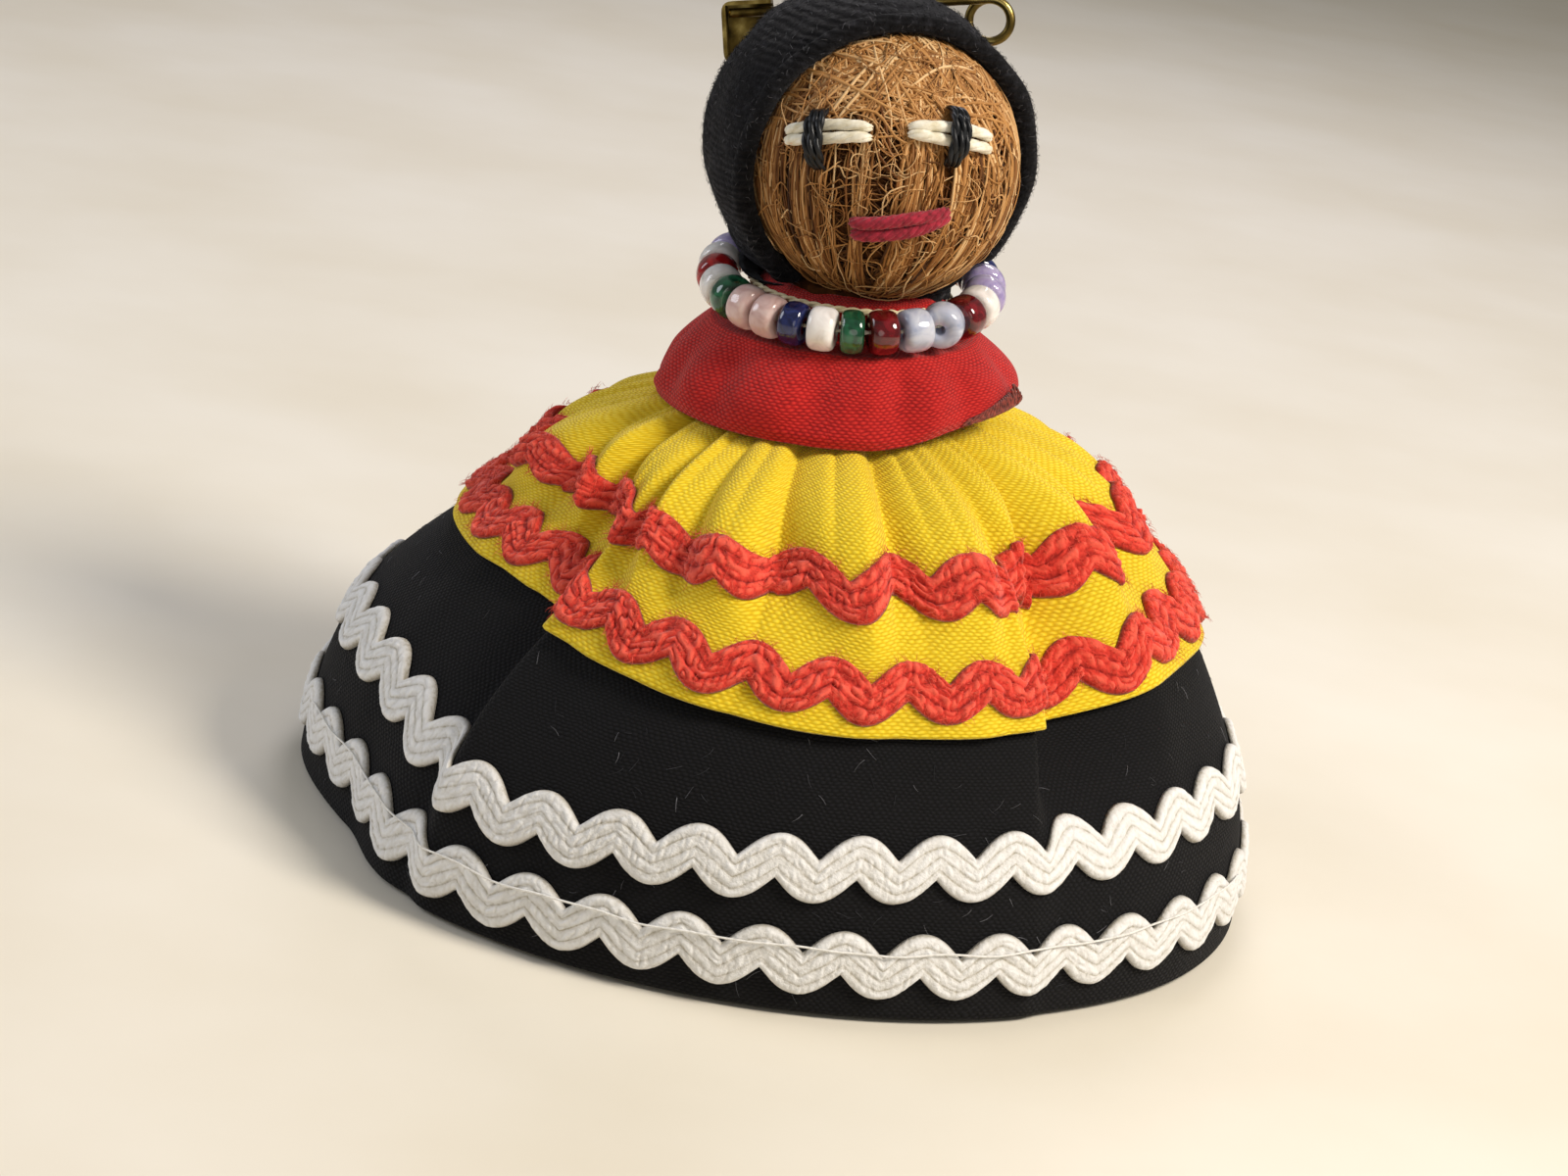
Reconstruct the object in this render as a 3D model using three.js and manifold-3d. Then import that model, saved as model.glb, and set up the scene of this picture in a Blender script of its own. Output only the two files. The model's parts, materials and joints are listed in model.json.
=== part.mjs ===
// A palmetto fibre doll: a stuffed fibre body on a card base, a ball head in a cloth hood, stitched eyes and
// mouth, a string of glass beads, a collar, a gathered cape and a long skirt, both trimmed with rickrack,
// and a safety pin through the back of the hood. Millimetres, +Z up, the doll faces -Y and stands on Z = 0.
import * as THREE from 'three';
import { mergeVertices } from 'three/addons/utils/BufferGeometryUtils.js';
import Module from 'manifold-3d';

const wasm = await Module();
wasm.setup();

// Shared sizes
const CLEAR = 0.3; // gap between pieces that touch
const CLOTH = 0.8; // a hemmed layer of cotton

// Necklace
const STRING_RADIUS = 12.5; // from the neck's axis to the thread
const STRING_TILT = { forward: 8, aside: 4.5 }; // degrees, lower in front and higher at +X
const STRING_THREAD = 0.44;
const BEAD_DIAMETER = 4.2;
const BEAD_BORE = 1.1;
const BEAD_GAP = 0.35;

// Neck and its binding: the necklace lies round them, so they take their size from it
const NECK_INSIDE = 4.5; // from the necklace's thread in to the neck
const NECK_RADIUS = STRING_RADIUS - NECK_INSIDE;
const NECK_SHOWN = 4; // from the collar up to the chin
const BINDING_THREAD = 0.6;
const BINDING_PITCH = 1.4;
const BINDING_LOOPS = 1.5;

// Card base
const BASE_THICKNESS = 1.5;

// Skirt: from the hem on the floor up to the seam at the neck
const HEM_RADIUS = 44.4;
const HEM_WIDER = 0.05; // the hem is this share wider across than it is deep from front to back, either way
const HEM_LIFT = 0.4; // the hem hangs just clear of the floor
const SEAM_HEIGHT = 45; // skirt and cape are gathered into one seam here
const SEAM_STAND = 1.5; // the seam is this far out from the neck
const SKIRT_SEAM_RADIUS = NECK_RADIUS + SEAM_STAND;
const BELL = 2.5; // how bell-shaped the skirt is: 1 would be a plain cone

// Folds that fall through skirt and cape together: degrees from the front, + towards +X, depth at the hem and
// under the cape, the height above which they deepen, how far the cloth is drawn up in them, and how many degrees
// they open to either side
const FOLD_WALL = 5; // the steep side of a fold
const FOLD_SLOPE = 20; // and its long slope
const FOLDS = [
  { angle: -65, atHem: 4.4, underCape: 1.6, from: 0, drawnUp: 0, left: 20, right: 24 },
  { angle: -45.5, atHem: 1, underCape: 3.8, from: 0, drawnUp: 0, left: FOLD_SLOPE, right: FOLD_WALL },
  { angle: 40, atHem: 0.5, underCape: 4, from: 14, drawnUp: 0, left: FOLD_WALL, right: FOLD_SLOPE },
  { angle: 112, atHem: 1.8, underCape: 2.6, from: 0, drawnUp: 1, left: FOLD_WALL, right: FOLD_SLOPE },
  { angle: 152, atHem: 2.2, underCape: 2.8, from: 0, drawnUp: 1, left: FOLD_WALL, right: FOLD_SLOPE },
  { angle: -150, atHem: 2.2, underCape: 2.8, from: 0, drawnUp: 1, left: FOLD_SLOPE, right: FOLD_WALL },
  { angle: -112, atHem: 1.8, underCape: 2.6, from: 0, drawnUp: 1, left: FOLD_SLOPE, right: FOLD_WALL },
];
const FOLD_DEEPEST = 24; // height at which the folds are deepest
const FOLD_FADE_START = 28; // height above which they run out
const FOLD_FADE_END = 43;
const DRAWN_UP_FROM = -4; // height at which the cloth begins to be drawn up in the folds
const DRAWN_UP_FULLY = 12;
const SWAY = 2.2; // the clothes hang this far to the doll's left side
const SWAY_HEIGHT = 30;
const SWAY_REACH = 9;
const SHOULDER_TILT = 4; // degrees, the shoulders sit higher at +X
const SHOULDER_LOW = 26; // height at which the tilt of the shoulders begins

// Cape
const CAPE_HEM_HEIGHT = 27.6; // at the sides
const CAPE_HEM_DROP = 3; // the hem is lower by this in front and behind
const CAPE_HEM_MIDDLE = 3; // degrees from the front to its lowest point
const CAPE_HEM_SPREAD = 75; // degrees over which it rises to the sides
const CAPE_HEM_STAND = 1.8; // how far the cape stands off the skirt at its hem
const CAPE_SEAM_STAND = 1.6; // and at the seam
const CAPE_PUFF = 4.6; // and how far it puffs out over the shoulders
const GATHERS = 26;
const GATHER_DEPTH = 0.9;
const GATHER_AT_SEAM = 0.4; // the share of that depth left where they are sewn in

// Rickrack
const BRAID_WIDTH = 3.8;
const BRAID_SWING = 1.15; // each wave swings this far to either side
const BRAID_THICKNESS = 1.1;
const SLOPE_STEP = 0.5; // a row's slope is taken over this height to either side
const BRAID_STAND = 0.6; // from the cloth to the back of the braid, which bridges its small folds
const WAVE_LENGTH = 7;
// Rows on the skirt: their height, how far they rise towards +X, and how much higher they sit on the flat
// panel at the side
const SKIRT_ROWS = {
  lower: { height: 5.2, tilt: 1, step: 1 },
  upper: { height: 13.2, tilt: 2.6, step: 4.4 },
};
const PANEL = { from: -150, to: -40.5 }; // degrees from the front to the edges of that panel
const PANEL_EDGE = 5; // degrees over which the rows step up beside the front panel
const PANEL_BLEND = 50; // and come down again behind
const CAPE_ROWS = { lower: 0.155, upper: 0.51 }; // shares of the way from the hem to the seam

// Collar
const COLLAR_DROP = 1.2; // the collar covers the seam by this much
const COLLAR_HEIGHT = 7.5; // up to the beads, where it is drawn in to the neck
const COLLAR_SHELF = 0.2; // the collar's shoulder reaches this far past the thread of the beads that rest on it
const COLLAR_TOP_RADIUS = STRING_RADIUS + COLLAR_SHELF;
const COLLAR_BULGE = 0.8;
const COLLAR_DENT = 0.35;
const COLLAR_DENTS = 9;
const COLLAR_DENTS_TURN = 8; // degrees
const YOKE_RISE = 0.6; // from the collar's shoulder in to the neck

// Head
const HEAD_RADIUS = 12.2;
const HEAD_FORWARD = 2.5; // the head sits ahead of the neck's axis
const HEAD_ASIDE = 1.2; // and a little to its left side

// Hood: padded behind, with its rolled rim round the head
const HOOD_RADIUS = 14.9;
const HOOD_BEHIND = 5.8; // from the head's centre back to the hood's
const HOOD_TURN = { yaw: 22, pitch: 5 }; // degrees, aside and down
const HOOD_RIM_AHEAD = 0.8; // the rim lies this far ahead of the head's centre
const HOOD_RIM_RADIUS = 0.75;
const HOOD_RIM_STAND = 0.4; // extra gap between the rim and the head
const HOOD_EDGE_RISE = 2.5; // its lower edge clears the middle of the necklace by this
const HOOD_EDGE_SLOPE = 16.5; // degrees, higher behind

// Face: places in degrees across and up from the front of the head, slopes in degrees
const EYES = {
  left: { across: -28, up: 18.6, slope: 15, shift: -1 },
  right: { across: 30, up: 26.3, slope: -10, shift: 0 },
};
const EYE_LENGTH = 8.8;
const EYE_STRAND = 1;
const EYE_SPACING = 1.3;
const PUPIL = { length: 5.4, width: 2, height: 0.7 };
const MOUTH = { across: 11, up: -13, slope: 17, length: 9.3 };
const MOUTH_STRAND = 0.9;
const MOUTH_SPACING = 1.2;

// Safety pin
const WIRE = 0.9;
const COIL_RADIUS = 2; // to the middle of the wire
const COIL_GAP = 0.5; // between the two turns of the coil
const COIL_LEAD = 1; // the straight wire ends this far from the coil's centre
const PIN_REACH = 24.8; // from the coil's centre to the point
const PIN_BITE = 12.2; // from the coil's centre to the middle of the stitch through the hood
const PIN_SLOPE = 12.5; // degrees, the coil is the higher end
const PIN_SEAT = 30.5; // degrees up the back of the hood
const PIN_DEPTH = 1.2; // how deep under the felt the arm runs
const POINT_LENGTH = 3;
const CAP_WALL = 0.4;
const CAP_WIDTH = 4.8;
const CAP_CORNER = 1.1;
const CAP_FOOT = 2.2; // width of the leaf at its lower end

const rad = THREE.MathUtils.degToRad;
const { lerp, smoothstep } = THREE.MathUtils;
const vec = (x, y, z) => new THREE.Vector3(x, y, z);

// Evenly spaced values, and evenly spaced angles round a full turn.
const turns = (count) => Array.from({ length: count }, (_, i) => (i / count) * 2 * Math.PI);
const spread = (from, to, count) => Array.from({ length: count }, (_, i) => lerp(from, to, i / (count - 1)));

// Geometry helpers

// Puts the faces outward: a closed surface that encloses a negative volume is turned round.
function facingOut(geometry) {
  const p = geometry.attributes.position;
  const index = geometry.index.array;
  const corner = (i) => vec().fromBufferAttribute(p, index[i]);
  let volume = 0;
  for (let i = 0; i < index.length; i += 3) {
    volume += corner(i).dot(corner(i + 1).cross(corner(i + 2)));
  }
  if (volume < 0) {
    for (let i = 0; i < index.length; i += 3) {
      [index[i + 1], index[i + 2]] = [index[i + 2], index[i + 1]];
    }
  }
  return geometry;
}

function fromTriangles(points, triangles) {
  const geometry = new THREE.BufferGeometry().setFromPoints(points);
  geometry.setIndex(triangles);
  return facingOut(geometry);
}

// A closed band round the doll: every section is a closed loop of points, and the last joins the first.
function band(sections) {
  const rows = sections.length;
  const size = sections[0].length;
  const triangles = [];
  for (let i = 0; i < rows; i++) {
    for (let j = 0; j < size; j++) {
      const a = i * size + j;
      const b = i * size + ((j + 1) % size);
      const c = ((i + 1) % rows) * size + j;
      const d = ((i + 1) % rows) * size + ((j + 1) % size);
      triangles.push(a, c, b, b, c, d);
    }
  }
  return fromTriangles(sections.flat(), triangles);
}

// A skin through a row of closed rings, with a flat end at the first and the last.
function loft(rings) {
  const last = rings.length - 1;
  const size = rings[0].length;
  const triangles = [];
  for (let i = 0; i < last; i++) {
    for (let k = 0; k < size; k++) {
      const a = i * size + k;
      const b = i * size + ((k + 1) % size);
      triangles.push(a, b, a + size, b, b + size, a + size);
    }
  }
  for (let k = 1; k < size - 1; k++) {
    triangles.push(0, k + 1, k);
    triangles.push(last * size, last * size + k, last * size + k + 1);
  }
  return fromTriangles(rings.flat(), triangles);
}

// A strand along a row of points. up(point) sets which way its height points.
function strand(points, up, halfWidth, halfHeight, sides) {
  const last = points.length - 1;
  return loft(points.map((point, i) => {
    const along = points[Math.min(i + 1, last)].clone().sub(points[Math.max(i - 1, 0)]);
    const side = along.clone().cross(up(point)).normalize();
    const top = side.clone().cross(along).normalize();
    return Array.from({ length: sides }, (_, k) => {
      const a = ((k + 0.5) / sides) * 2 * Math.PI;
      const across = side.clone().multiplyScalar(halfWidth(i / last) * Math.cos(a));
      return point.clone().add(across).addScaledVector(top, halfHeight(i / last) * Math.sin(a));
    });
  }));
}

const even = (size) => () => size;

// The least gap of a tube to itself, between points more than one turn's third apart.
function leastSelfGap(points, diameter) {
  const apart = 4 * diameter;
  const run = [0];
  points.slice(1).forEach((p, i) => run.push(run[i] + p.distanceTo(points[i])));
  let least = Infinity;
  points.forEach((p, i) => {
    for (let j = i + 1; j < points.length; j++) {
      if (run[j] - run[i] > apart) least = Math.min(least, p.distanceTo(points[j]));
    }
  });
  return least - diameter;
}

function solid(geometry) {
  const bare = new THREE.BufferGeometry();
  bare.setAttribute('position', geometry.attributes.position.clone());
  bare.setIndex(geometry.index);
  const merged = mergeVertices(bare, 1e-4);
  return new wasm.Manifold(new wasm.Mesh({
    numProp: 3,
    vertProperties: merged.attributes.position.array,
    triVerts: new Uint32Array(merged.index.array),
  }));
}

function cut(geometry, ...tools) {
  const left = tools.reduce((body, tool) => body.subtract(solid(tool)), solid(geometry));
  const mesh = left.getMesh();
  const result = new THREE.BufferGeometry();
  result.setAttribute('position', new THREE.BufferAttribute(mesh.vertProperties, mesh.numProp));
  result.setIndex(new THREE.BufferAttribute(mesh.triVerts, 1));
  return result;
}

function material(color, roughness, metalness = 0) {
  return new THREE.MeshStandardMaterial({ color, roughness, metalness });
}

const doll = new THREE.Group();

function add(name, geometry, look, parent = doll) {
  const mesh = new THREE.Mesh(geometry, look);
  mesh.name = name;
  parent.add(mesh);
  return mesh;
}

const FIBRE = material('#b9824a', 0.9);
const CARD = material('#8a6a45', 0.95);
const BLACK_COTTON = material('#0f0f13', 0.85);
const BLACK_FELT = material('#1c1d24', 0.95);
const YELLOW_COTTON = material('#e8c820', 0.8);
const RED_COTTON = material('#c41c1a', 0.8);
const CORAL_BRAID = material('#dd3f30', 0.75);
const WHITE_BRAID = material('#d6d5d8', 0.75);
const CREAM_THREAD = material('#e6d8b0', 0.8);
const WHITE_THREAD = material('#ede8da', 0.6);
const BLACK_THREAD = material('#121214', 0.55);
const RED_THREAD = material('#c02840', 0.7);
const BRASS = material('#8a7638', 0.45, 1);

// The clothes as surfaces of revolution round the doll's axis, before they settle into folds

const skirtRadius = (z) => lerp(HEM_RADIUS, SKIRT_SEAM_RADIUS, Math.max(z / SEAM_HEIGHT, 0) ** BELL);

// Degrees from an angle to an azimuth, between -180 and 180.
function degreesFrom(angle, azimuth) {
  return THREE.MathUtils.euclideanModulo(THREE.MathUtils.radToDeg(azimuth) - angle + 180, 360) - 180;
}

function capeHem(azimuth) {
  const aside = Math.abs(degreesFrom(CAPE_HEM_MIDDLE, azimuth));
  const fromMiddle = Math.min(aside, 180 - aside);
  return CAPE_HEM_HEIGHT - CAPE_HEM_DROP * (1 - smoothstep(fromMiddle, 0, CAPE_HEM_SPREAD));
}

// How far up the cape a height is, from 0 at the hem to 1 at the seam.
const capeRise = (azimuth, z) => (z - capeHem(azimuth)) / (SEAM_HEIGHT - capeHem(azimuth));

// The puff grows from nothing at the hem to its most three quarters of the way up.
const puffCurve = (t) => t ** 2 * (1 - t ** 4);
const puffShare = (t) => puffCurve(t) / puffCurve(0.76);

function capeRadius(azimuth, z) {
  const t = capeRise(azimuth, z);
  return skirtRadius(z) + lerp(CAPE_HEM_STAND, CAPE_SEAM_STAND, t) + CAPE_PUFF * puffShare(t);
}

function capeGather(azimuth, z) {
  const t = capeRise(azimuth, z);
  const depth = GATHER_DEPTH * smoothstep(t, 0.15, 0.6) * lerp(1, GATHER_AT_SEAM, smoothstep(t, 0.75, 0.95));
  return depth * Math.cos(GATHERS * azimuth + 0.7 * Math.sin(3 * azimuth));
}

// How deep a fold is at a height, where it is deepest.
function foldDepth(fold, z) {
  const fade = 1 - smoothstep(z, FOLD_FADE_START, FOLD_FADE_END);
  return fade * lerp(fold.atHem, fold.underCape, smoothstep(z, fold.from, FOLD_DEEPEST));
}

// How much of a fold's depth falls at an azimuth, from 0 beside it to 1 at its bottom.
function foldShare(fold, azimuth) {
  const off = degreesFrom(fold.angle, azimuth);
  return Math.max(0, 1 - (off > 0 ? off / fold.right : -off / fold.left));
}

// All the folds together at a place: how far the cloth lies inward, and how far it is drawn up.
function foldsAt(azimuth, z) {
  const drawn = smoothstep(z, DRAWN_UP_FROM, DRAWN_UP_FULLY) * (1 - smoothstep(z, FOLD_FADE_START, FOLD_FADE_END));
  const shares = FOLDS.map((fold) => foldShare(fold, azimuth));
  const sum = (valueOf) => FOLDS.reduce((total, fold, i) => total + shares[i] * valueOf(fold), 0);
  return { depth: sum((fold) => foldDepth(fold, z)), rise: sum((fold) => fold.drawnUp * drawn) };
}

// The azimuths of the bottoms and the edges of the folds.
const foldLines = FOLDS.flatMap(({ angle, left, right }) => [angle - left, angle, angle + right])
  .map((angle) => rad(THREE.MathUtils.euclideanModulo(angle, 360)));

// Azimuths round the doll that include the bottom and the edges of every fold.
function roundWithFolds(steps) {
  const apart = Math.PI / steps / 2;
  const between = turns(steps).filter((azimuth) => foldLines.every((line) => Math.abs(azimuth - line) > apart));
  return [...foldLines, ...between].sort((a, b) => a - b);
}

// The dressed body is wider across at the hem, hangs a little to one side and holds one shoulder higher.
function hang(azimuth, radius, z) {
  const wider = HEM_WIDER * Math.max(0, 1 - z / SEAM_HEIGHT);
  const reach = radius * (1 - wider * Math.cos(2 * azimuth));
  const sway = SWAY * Math.exp(-(((z - SWAY_HEIGHT) / SWAY_REACH) ** 2));
  const tilt = Math.tan(rad(SHOULDER_TILT)) * smoothstep(z, SHOULDER_LOW, SEAM_HEIGHT);
  const x = reach * Math.sin(azimuth);
  return vec(x + sway, -reach * Math.cos(azimuth), z + tilt * x);
}

// Moves a point of the clothes from its place on the plain surface to where the folded cloth lies.
function settle(azimuth, radius, z) {
  const { depth, rise } = foldsAt(azimuth, z);
  return hang(azimuth, radius - depth, z + rise);
}

// A point lifted off a surface of revolution along its outward normal.
function lifted(radiusAt, azimuth, z, lift) {
  const step = 0.01;
  const slope = (radiusAt(azimuth, z + step) - radiusAt(azimuth, z - step)) / (2 * step);
  const length = Math.hypot(1, slope);
  return settle(azimuth, radiusAt(azimuth, z) + lift / length, z - (lift * slope) / length);
}

const skirtAt = (azimuth, z) => skirtRadius(z);
const capeAt = (azimuth, z) => capeRadius(azimuth, z) + capeGather(azimuth, z);

// A layer of cloth between two heights, its outer face on the surface and its inner face one thickness in.
function clothLayer(radiusAt, steps, heights) {
  return band(roundWithFolds(steps).map((azimuth) => {
    const rows = heights(azimuth);
    const outer = rows.map((z) => settle(azimuth, radiusAt(azimuth, z), z));
    const inner = rows.map((z) => settle(azimuth, radiusAt(azimuth, z) - CLOTH, z));
    return [...outer, ...inner.reverse()];
  }));
}

// Base and body

const deepestFold = (z) => Math.max(...foldLines.map((azimuth) => foldsAt(azimuth, z).depth));
const bodyRadius = (z) => skirtRadius(z) - deepestFold(z) - CLOTH - CLEAR;
const baseRadius = bodyRadius(BASE_THICKNESS);
const baseRing = turns(48).map((azimuth) => hang(azimuth, baseRadius, BASE_THICKNESS));
const underside = baseRing.map(({ x, y }) => vec(x, y, 0));
add('base_disc', loft([underside, baseRing]), CARD);

const collarBottom = SEAM_HEIGHT - COLLAR_DROP;
const collarTop = collarBottom + COLLAR_HEIGHT;
const headCentre = vec(HEAD_ASIDE, -HEAD_FORWARD, collarTop + NECK_SHOWN + HEAD_RADIUS);
const headRoom = HEAD_RADIUS + CLEAR;

// The body swells under the skirt and narrows to the neck, where the head is pressed onto it.
const rowHeights = [SKIRT_ROWS.lower.height, SKIRT_ROWS.upper.height];
const skirtHeights = [HEM_LIFT, ...rowHeights, ...spread(FOLD_DEEPEST, SEAM_HEIGHT, 3)];
const bodyRows = [BASE_THICKNESS + CLEAR, ...skirtHeights.slice(1), headCentre.z];
const bodyRings = bodyRows.map((z, i) => {
  const radius = i < bodyRows.length - 2 ? Math.max(bodyRadius(z), NECK_RADIUS) : NECK_RADIUS;
  return turns(36).map((azimuth) => hang(azimuth, radius, z));
});
const headSeat = new THREE.SphereGeometry(headRoom, 32, 24).translate(...headCentre);
add('body', cut(loft(bodyRings), headSeat), FIBRE);

// Skirt, cape and their rows of rickrack

add('skirt', clothLayer(skirtAt, 72, () => skirtHeights), BLACK_COTTON);

const capeHeights = (azimuth) => [0, 0.3, 0.6, 0.82, 1].map((t) => lerp(capeHem(azimuth), SEAM_HEIGHT, t));
add('cape', clothLayer(capeAt, 4 * GATHERS, capeHeights), YELLOW_COTTON);

// The upper edge of a wavy braid of even width, as the highest reach of a disc that follows the wave.
function braidEdge(phase) {
  const half = BRAID_WIDTH / 2;
  const reach = half / WAVE_LENGTH;
  const heights = spread(-reach, reach, 41).map((off) => {
    const swing = BRAID_SWING * Math.sin(2 * Math.PI * (phase + off));
    return swing + Math.sqrt(Math.max(0, half ** 2 - (off * WAVE_LENGTH) ** 2));
  });
  return Math.max(...heights);
}

// A row of rickrack round the doll, at heights that follow the azimuth, on the surface it is sewn to.
function rickrack(radiusAt, heightAt) {
  const waves = Math.round((2 * Math.PI * radiusAt(0, heightAt(0))) / WAVE_LENGTH);
  return band(roundWithFolds(4 * waves).map((azimuth) => {
    const height = heightAt(azimuth);
    const drop = radiusAt(azimuth, height + SLOPE_STEP) - radiusAt(azimuth, height - SLOPE_STEP);
    const rise = 1 / Math.hypot(1, drop / (2 * SLOPE_STEP));
    const phase = (waves * azimuth) / (2 * Math.PI);
    const top = height + rise * braidEdge(phase);
    const bottom = height - rise * braidEdge(phase + 0.5);
    const under = BRAID_STAND;
    const over = BRAID_STAND + BRAID_THICKNESS;
    return [
      lifted(radiusAt, azimuth, bottom, over),
      lifted(radiusAt, azimuth, top, over),
      lifted(radiusAt, azimuth, top, under),
      lifted(radiusAt, azimuth, bottom, under),
    ];
  }));
}

// From 0 on the rest of the skirt to 1 on its flat side panel.
function onSidePanel(azimuth) {
  const fromEdge = -degreesFrom(PANEL.to, azimuth);
  const fromEnd = degreesFrom(PANEL.from, azimuth);
  return smoothstep(fromEdge, 0, PANEL_EDGE) * smoothstep(fromEnd, 0, PANEL_BLEND);
}

for (const [row, { height, tilt, step }] of Object.entries(SKIRT_ROWS)) {
  const heightAt = (azimuth) => height + tilt * Math.sin(azimuth) + step * onSidePanel(azimuth);
  add(`skirt_rickrack_${row}`, rickrack(skirtAt, heightAt), WHITE_BRAID);
}
for (const [row, share] of Object.entries(CAPE_ROWS)) {
  const heightAt = (azimuth) => lerp(capeHem(azimuth), SEAM_HEIGHT, share);
  add(`cape_rickrack_${row}`, rickrack(capeAt, heightAt), CORAL_BRAID);
}

// Collar: a band that covers the seam and leans in over the shoulders, with soft upright dents, and is drawn in
// under the beads to stand up round the neck

const capeThere = turns(4 * GATHERS).map((azimuth) => capeAt(azimuth, collarBottom));
const collarBottomRadius = Math.max(...capeThere) + CLEAR + CLOTH;
function collarAt(azimuth, z) {
  const t = (z - collarBottom) / COLLAR_HEIGHT;
  const dent = COLLAR_DENT * Math.sin(Math.PI * t) * Math.cos(COLLAR_DENTS * (azimuth - rad(COLLAR_DENTS_TURN)));
  return lerp(collarBottomRadius, COLLAR_TOP_RADIUS, t) + COLLAR_BULGE * Math.sin(Math.PI * t) - dent;
}
const bindingTop = headCentre.z - headRoom - BINDING_THREAD / 2;
const collarNeck = NECK_RADIUS + CLEAR + CLOTH;
const yokeTop = collarTop + YOKE_RISE;
add('collar', band(turns(4 * COLLAR_DENTS).map((azimuth) => {
  const outer = spread(collarBottom, collarTop, 4).map((z) => [collarAt(azimuth, z), z]);
  outer.push([collarNeck, yokeTop], [collarNeck, bindingTop]);
  const inner = spread(collarBottom, collarTop - CLOTH, 4).map((z) => [collarAt(azimuth, z) - CLOTH, z]);
  inner.push([collarNeck - CLOTH, yokeTop - CLOTH], [collarNeck - CLOTH, bindingTop]);
  return [...outer, ...inner.reverse()].map(([radius, z]) => settle(azimuth, radius, z));
})), RED_COTTON);

// Neck binding: one thread wound round the collar where it stands up round the neck

const bindingRadius = collarNeck + CLEAR + BINDING_THREAD / 2;
const bindingPoints = spread(0, BINDING_LOOPS, 24 * BINDING_LOOPS + 1).map((turn) => {
  const height = bindingTop - turn * BINDING_PITCH;
  return hang(2 * Math.PI * turn, bindingRadius, height);
});
const UP = vec(0, 0, 1);
const threadHalf = even(BINDING_THREAD / 2);
add('neck_binding', strand(bindingPoints, () => UP, threadHalf, threadHalf, 6), CREAM_THREAD);
console.log('neck binding, least gap to itself', leastSelfGap(bindingPoints, BINDING_THREAD).toFixed(2), 'mm');

// Head: a ball of fibre that carries the stitched face

const head = new THREE.Group();
head.position.copy(headCentre);
doll.add(head);
add('head', new THREE.SphereGeometry(HEAD_RADIUS, 24, 15).rotateX(Math.PI / 2), FIBRE, head);

// Face: strands laid on the ball of the head, placed by degrees across and up from the middle of the face

function onFace(across, up, along, aside, slope, radius) {
  const a = rad(across);
  const b = rad(up);
  const middle = vec(Math.sin(a) * Math.cos(b), -Math.cos(a) * Math.cos(b), Math.sin(b));
  const right = vec(Math.cos(a), Math.sin(a), 0);
  const above = right.clone().cross(middle).negate();
  const x = along * Math.cos(rad(slope)) - aside * Math.sin(rad(slope));
  const y = along * Math.sin(rad(slope)) + aside * Math.cos(rad(slope));
  return middle.addScaledVector(right, x / radius).addScaledVector(above, y / radius).setLength(radius);
}

const outFromHead = (point) => point;
const stitchEnds = (half) => (u) => half * Math.max(0.4, (1 - Math.abs(2 * u - 1) ** 5) ** 0.5);

// A straight stitch that hugs the head; rise(share of its half length) lifts it over what it crosses.
function stitch({ across, up, length, aside = 0, slope = 0, width, height, rise = even(0) }) {
  const points = spread(-1, 1, 9).map((share) => {
    const radius = HEAD_RADIUS + CLEAR + height / 2 + rise(share);
    return onFace(across, up, (share * length) / 2, aside, slope, radius);
  });
  return strand(points, outFromHead, stitchEnds(width / 2), stitchEnds(height / 2), 6);
}

const PAIR = { upper: 0.5, lower: -0.5 };
for (const [side, eye] of Object.entries(EYES)) {
  for (const [level, offset] of Object.entries(PAIR)) {
    const white = stitch({
      ...eye,
      length: EYE_LENGTH,
      aside: offset * EYE_SPACING,
      width: EYE_STRAND,
      height: EYE_STRAND,
    });
    add(`eye_white_${side}_${level}`, white, WHITE_THREAD, head);
  }
  const pupil = stitch({
    ...eye,
    ...PUPIL,
    aside: -eye.shift,
    slope: eye.slope + 90,
    rise: (share) => (EYE_STRAND + CLEAR) * (1 - share ** 4),
  });
  add(`pupil_${side}`, pupil, BLACK_THREAD, head);
}

for (const [level, offset] of Object.entries(PAIR)) {
  const lip = stitch({
    ...MOUTH,
    aside: offset * MOUTH_SPACING,
    width: MOUTH_STRAND,
    height: MOUTH_STRAND,
  });
  add(`mouth_${level}`, lip, RED_THREAD, head);
}

// Necklace: its lowest bead in front rests on the collar

const beadRadius = BEAD_DIAMETER / 2;
const stringDrop = STRING_RADIUS * Math.sin(rad(STRING_TILT.forward));
const necklace = new THREE.Group();
necklace.position.z = collarTop + CLEAR + beadRadius + stringDrop;
necklace.rotation.set(rad(STRING_TILT.forward), -rad(STRING_TILT.aside), 0);
doll.add(necklace);

// Safety pin: where it lies, in the doll's frame

const slope = rad(PIN_SLOPE);
const pinAlong = vec(-Math.cos(slope), 0, -Math.sin(slope)); // from the coil to the cap
const backward = (angle) => vec(
  -Math.sin(angle) * Math.sin(slope),
  Math.cos(angle),
  Math.sin(angle) * Math.cos(slope),
);
const hoodYaw = rad(HOOD_TURN.yaw);
const hoodPitch = rad(HOOD_TURN.pitch);
const faceAxis = vec(Math.sin(hoodYaw), -Math.cos(hoodYaw), -Math.tan(hoodPitch)).normalize();
const hoodCentre = headCentre.clone().addScaledVector(faceAxis, -HOOD_BEHIND);
const biteRadius = HOOD_RADIUS - PIN_DEPTH;
const bite = backward(rad(PIN_SEAT)).multiplyScalar(biteRadius).add(hoodCentre);

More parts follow.
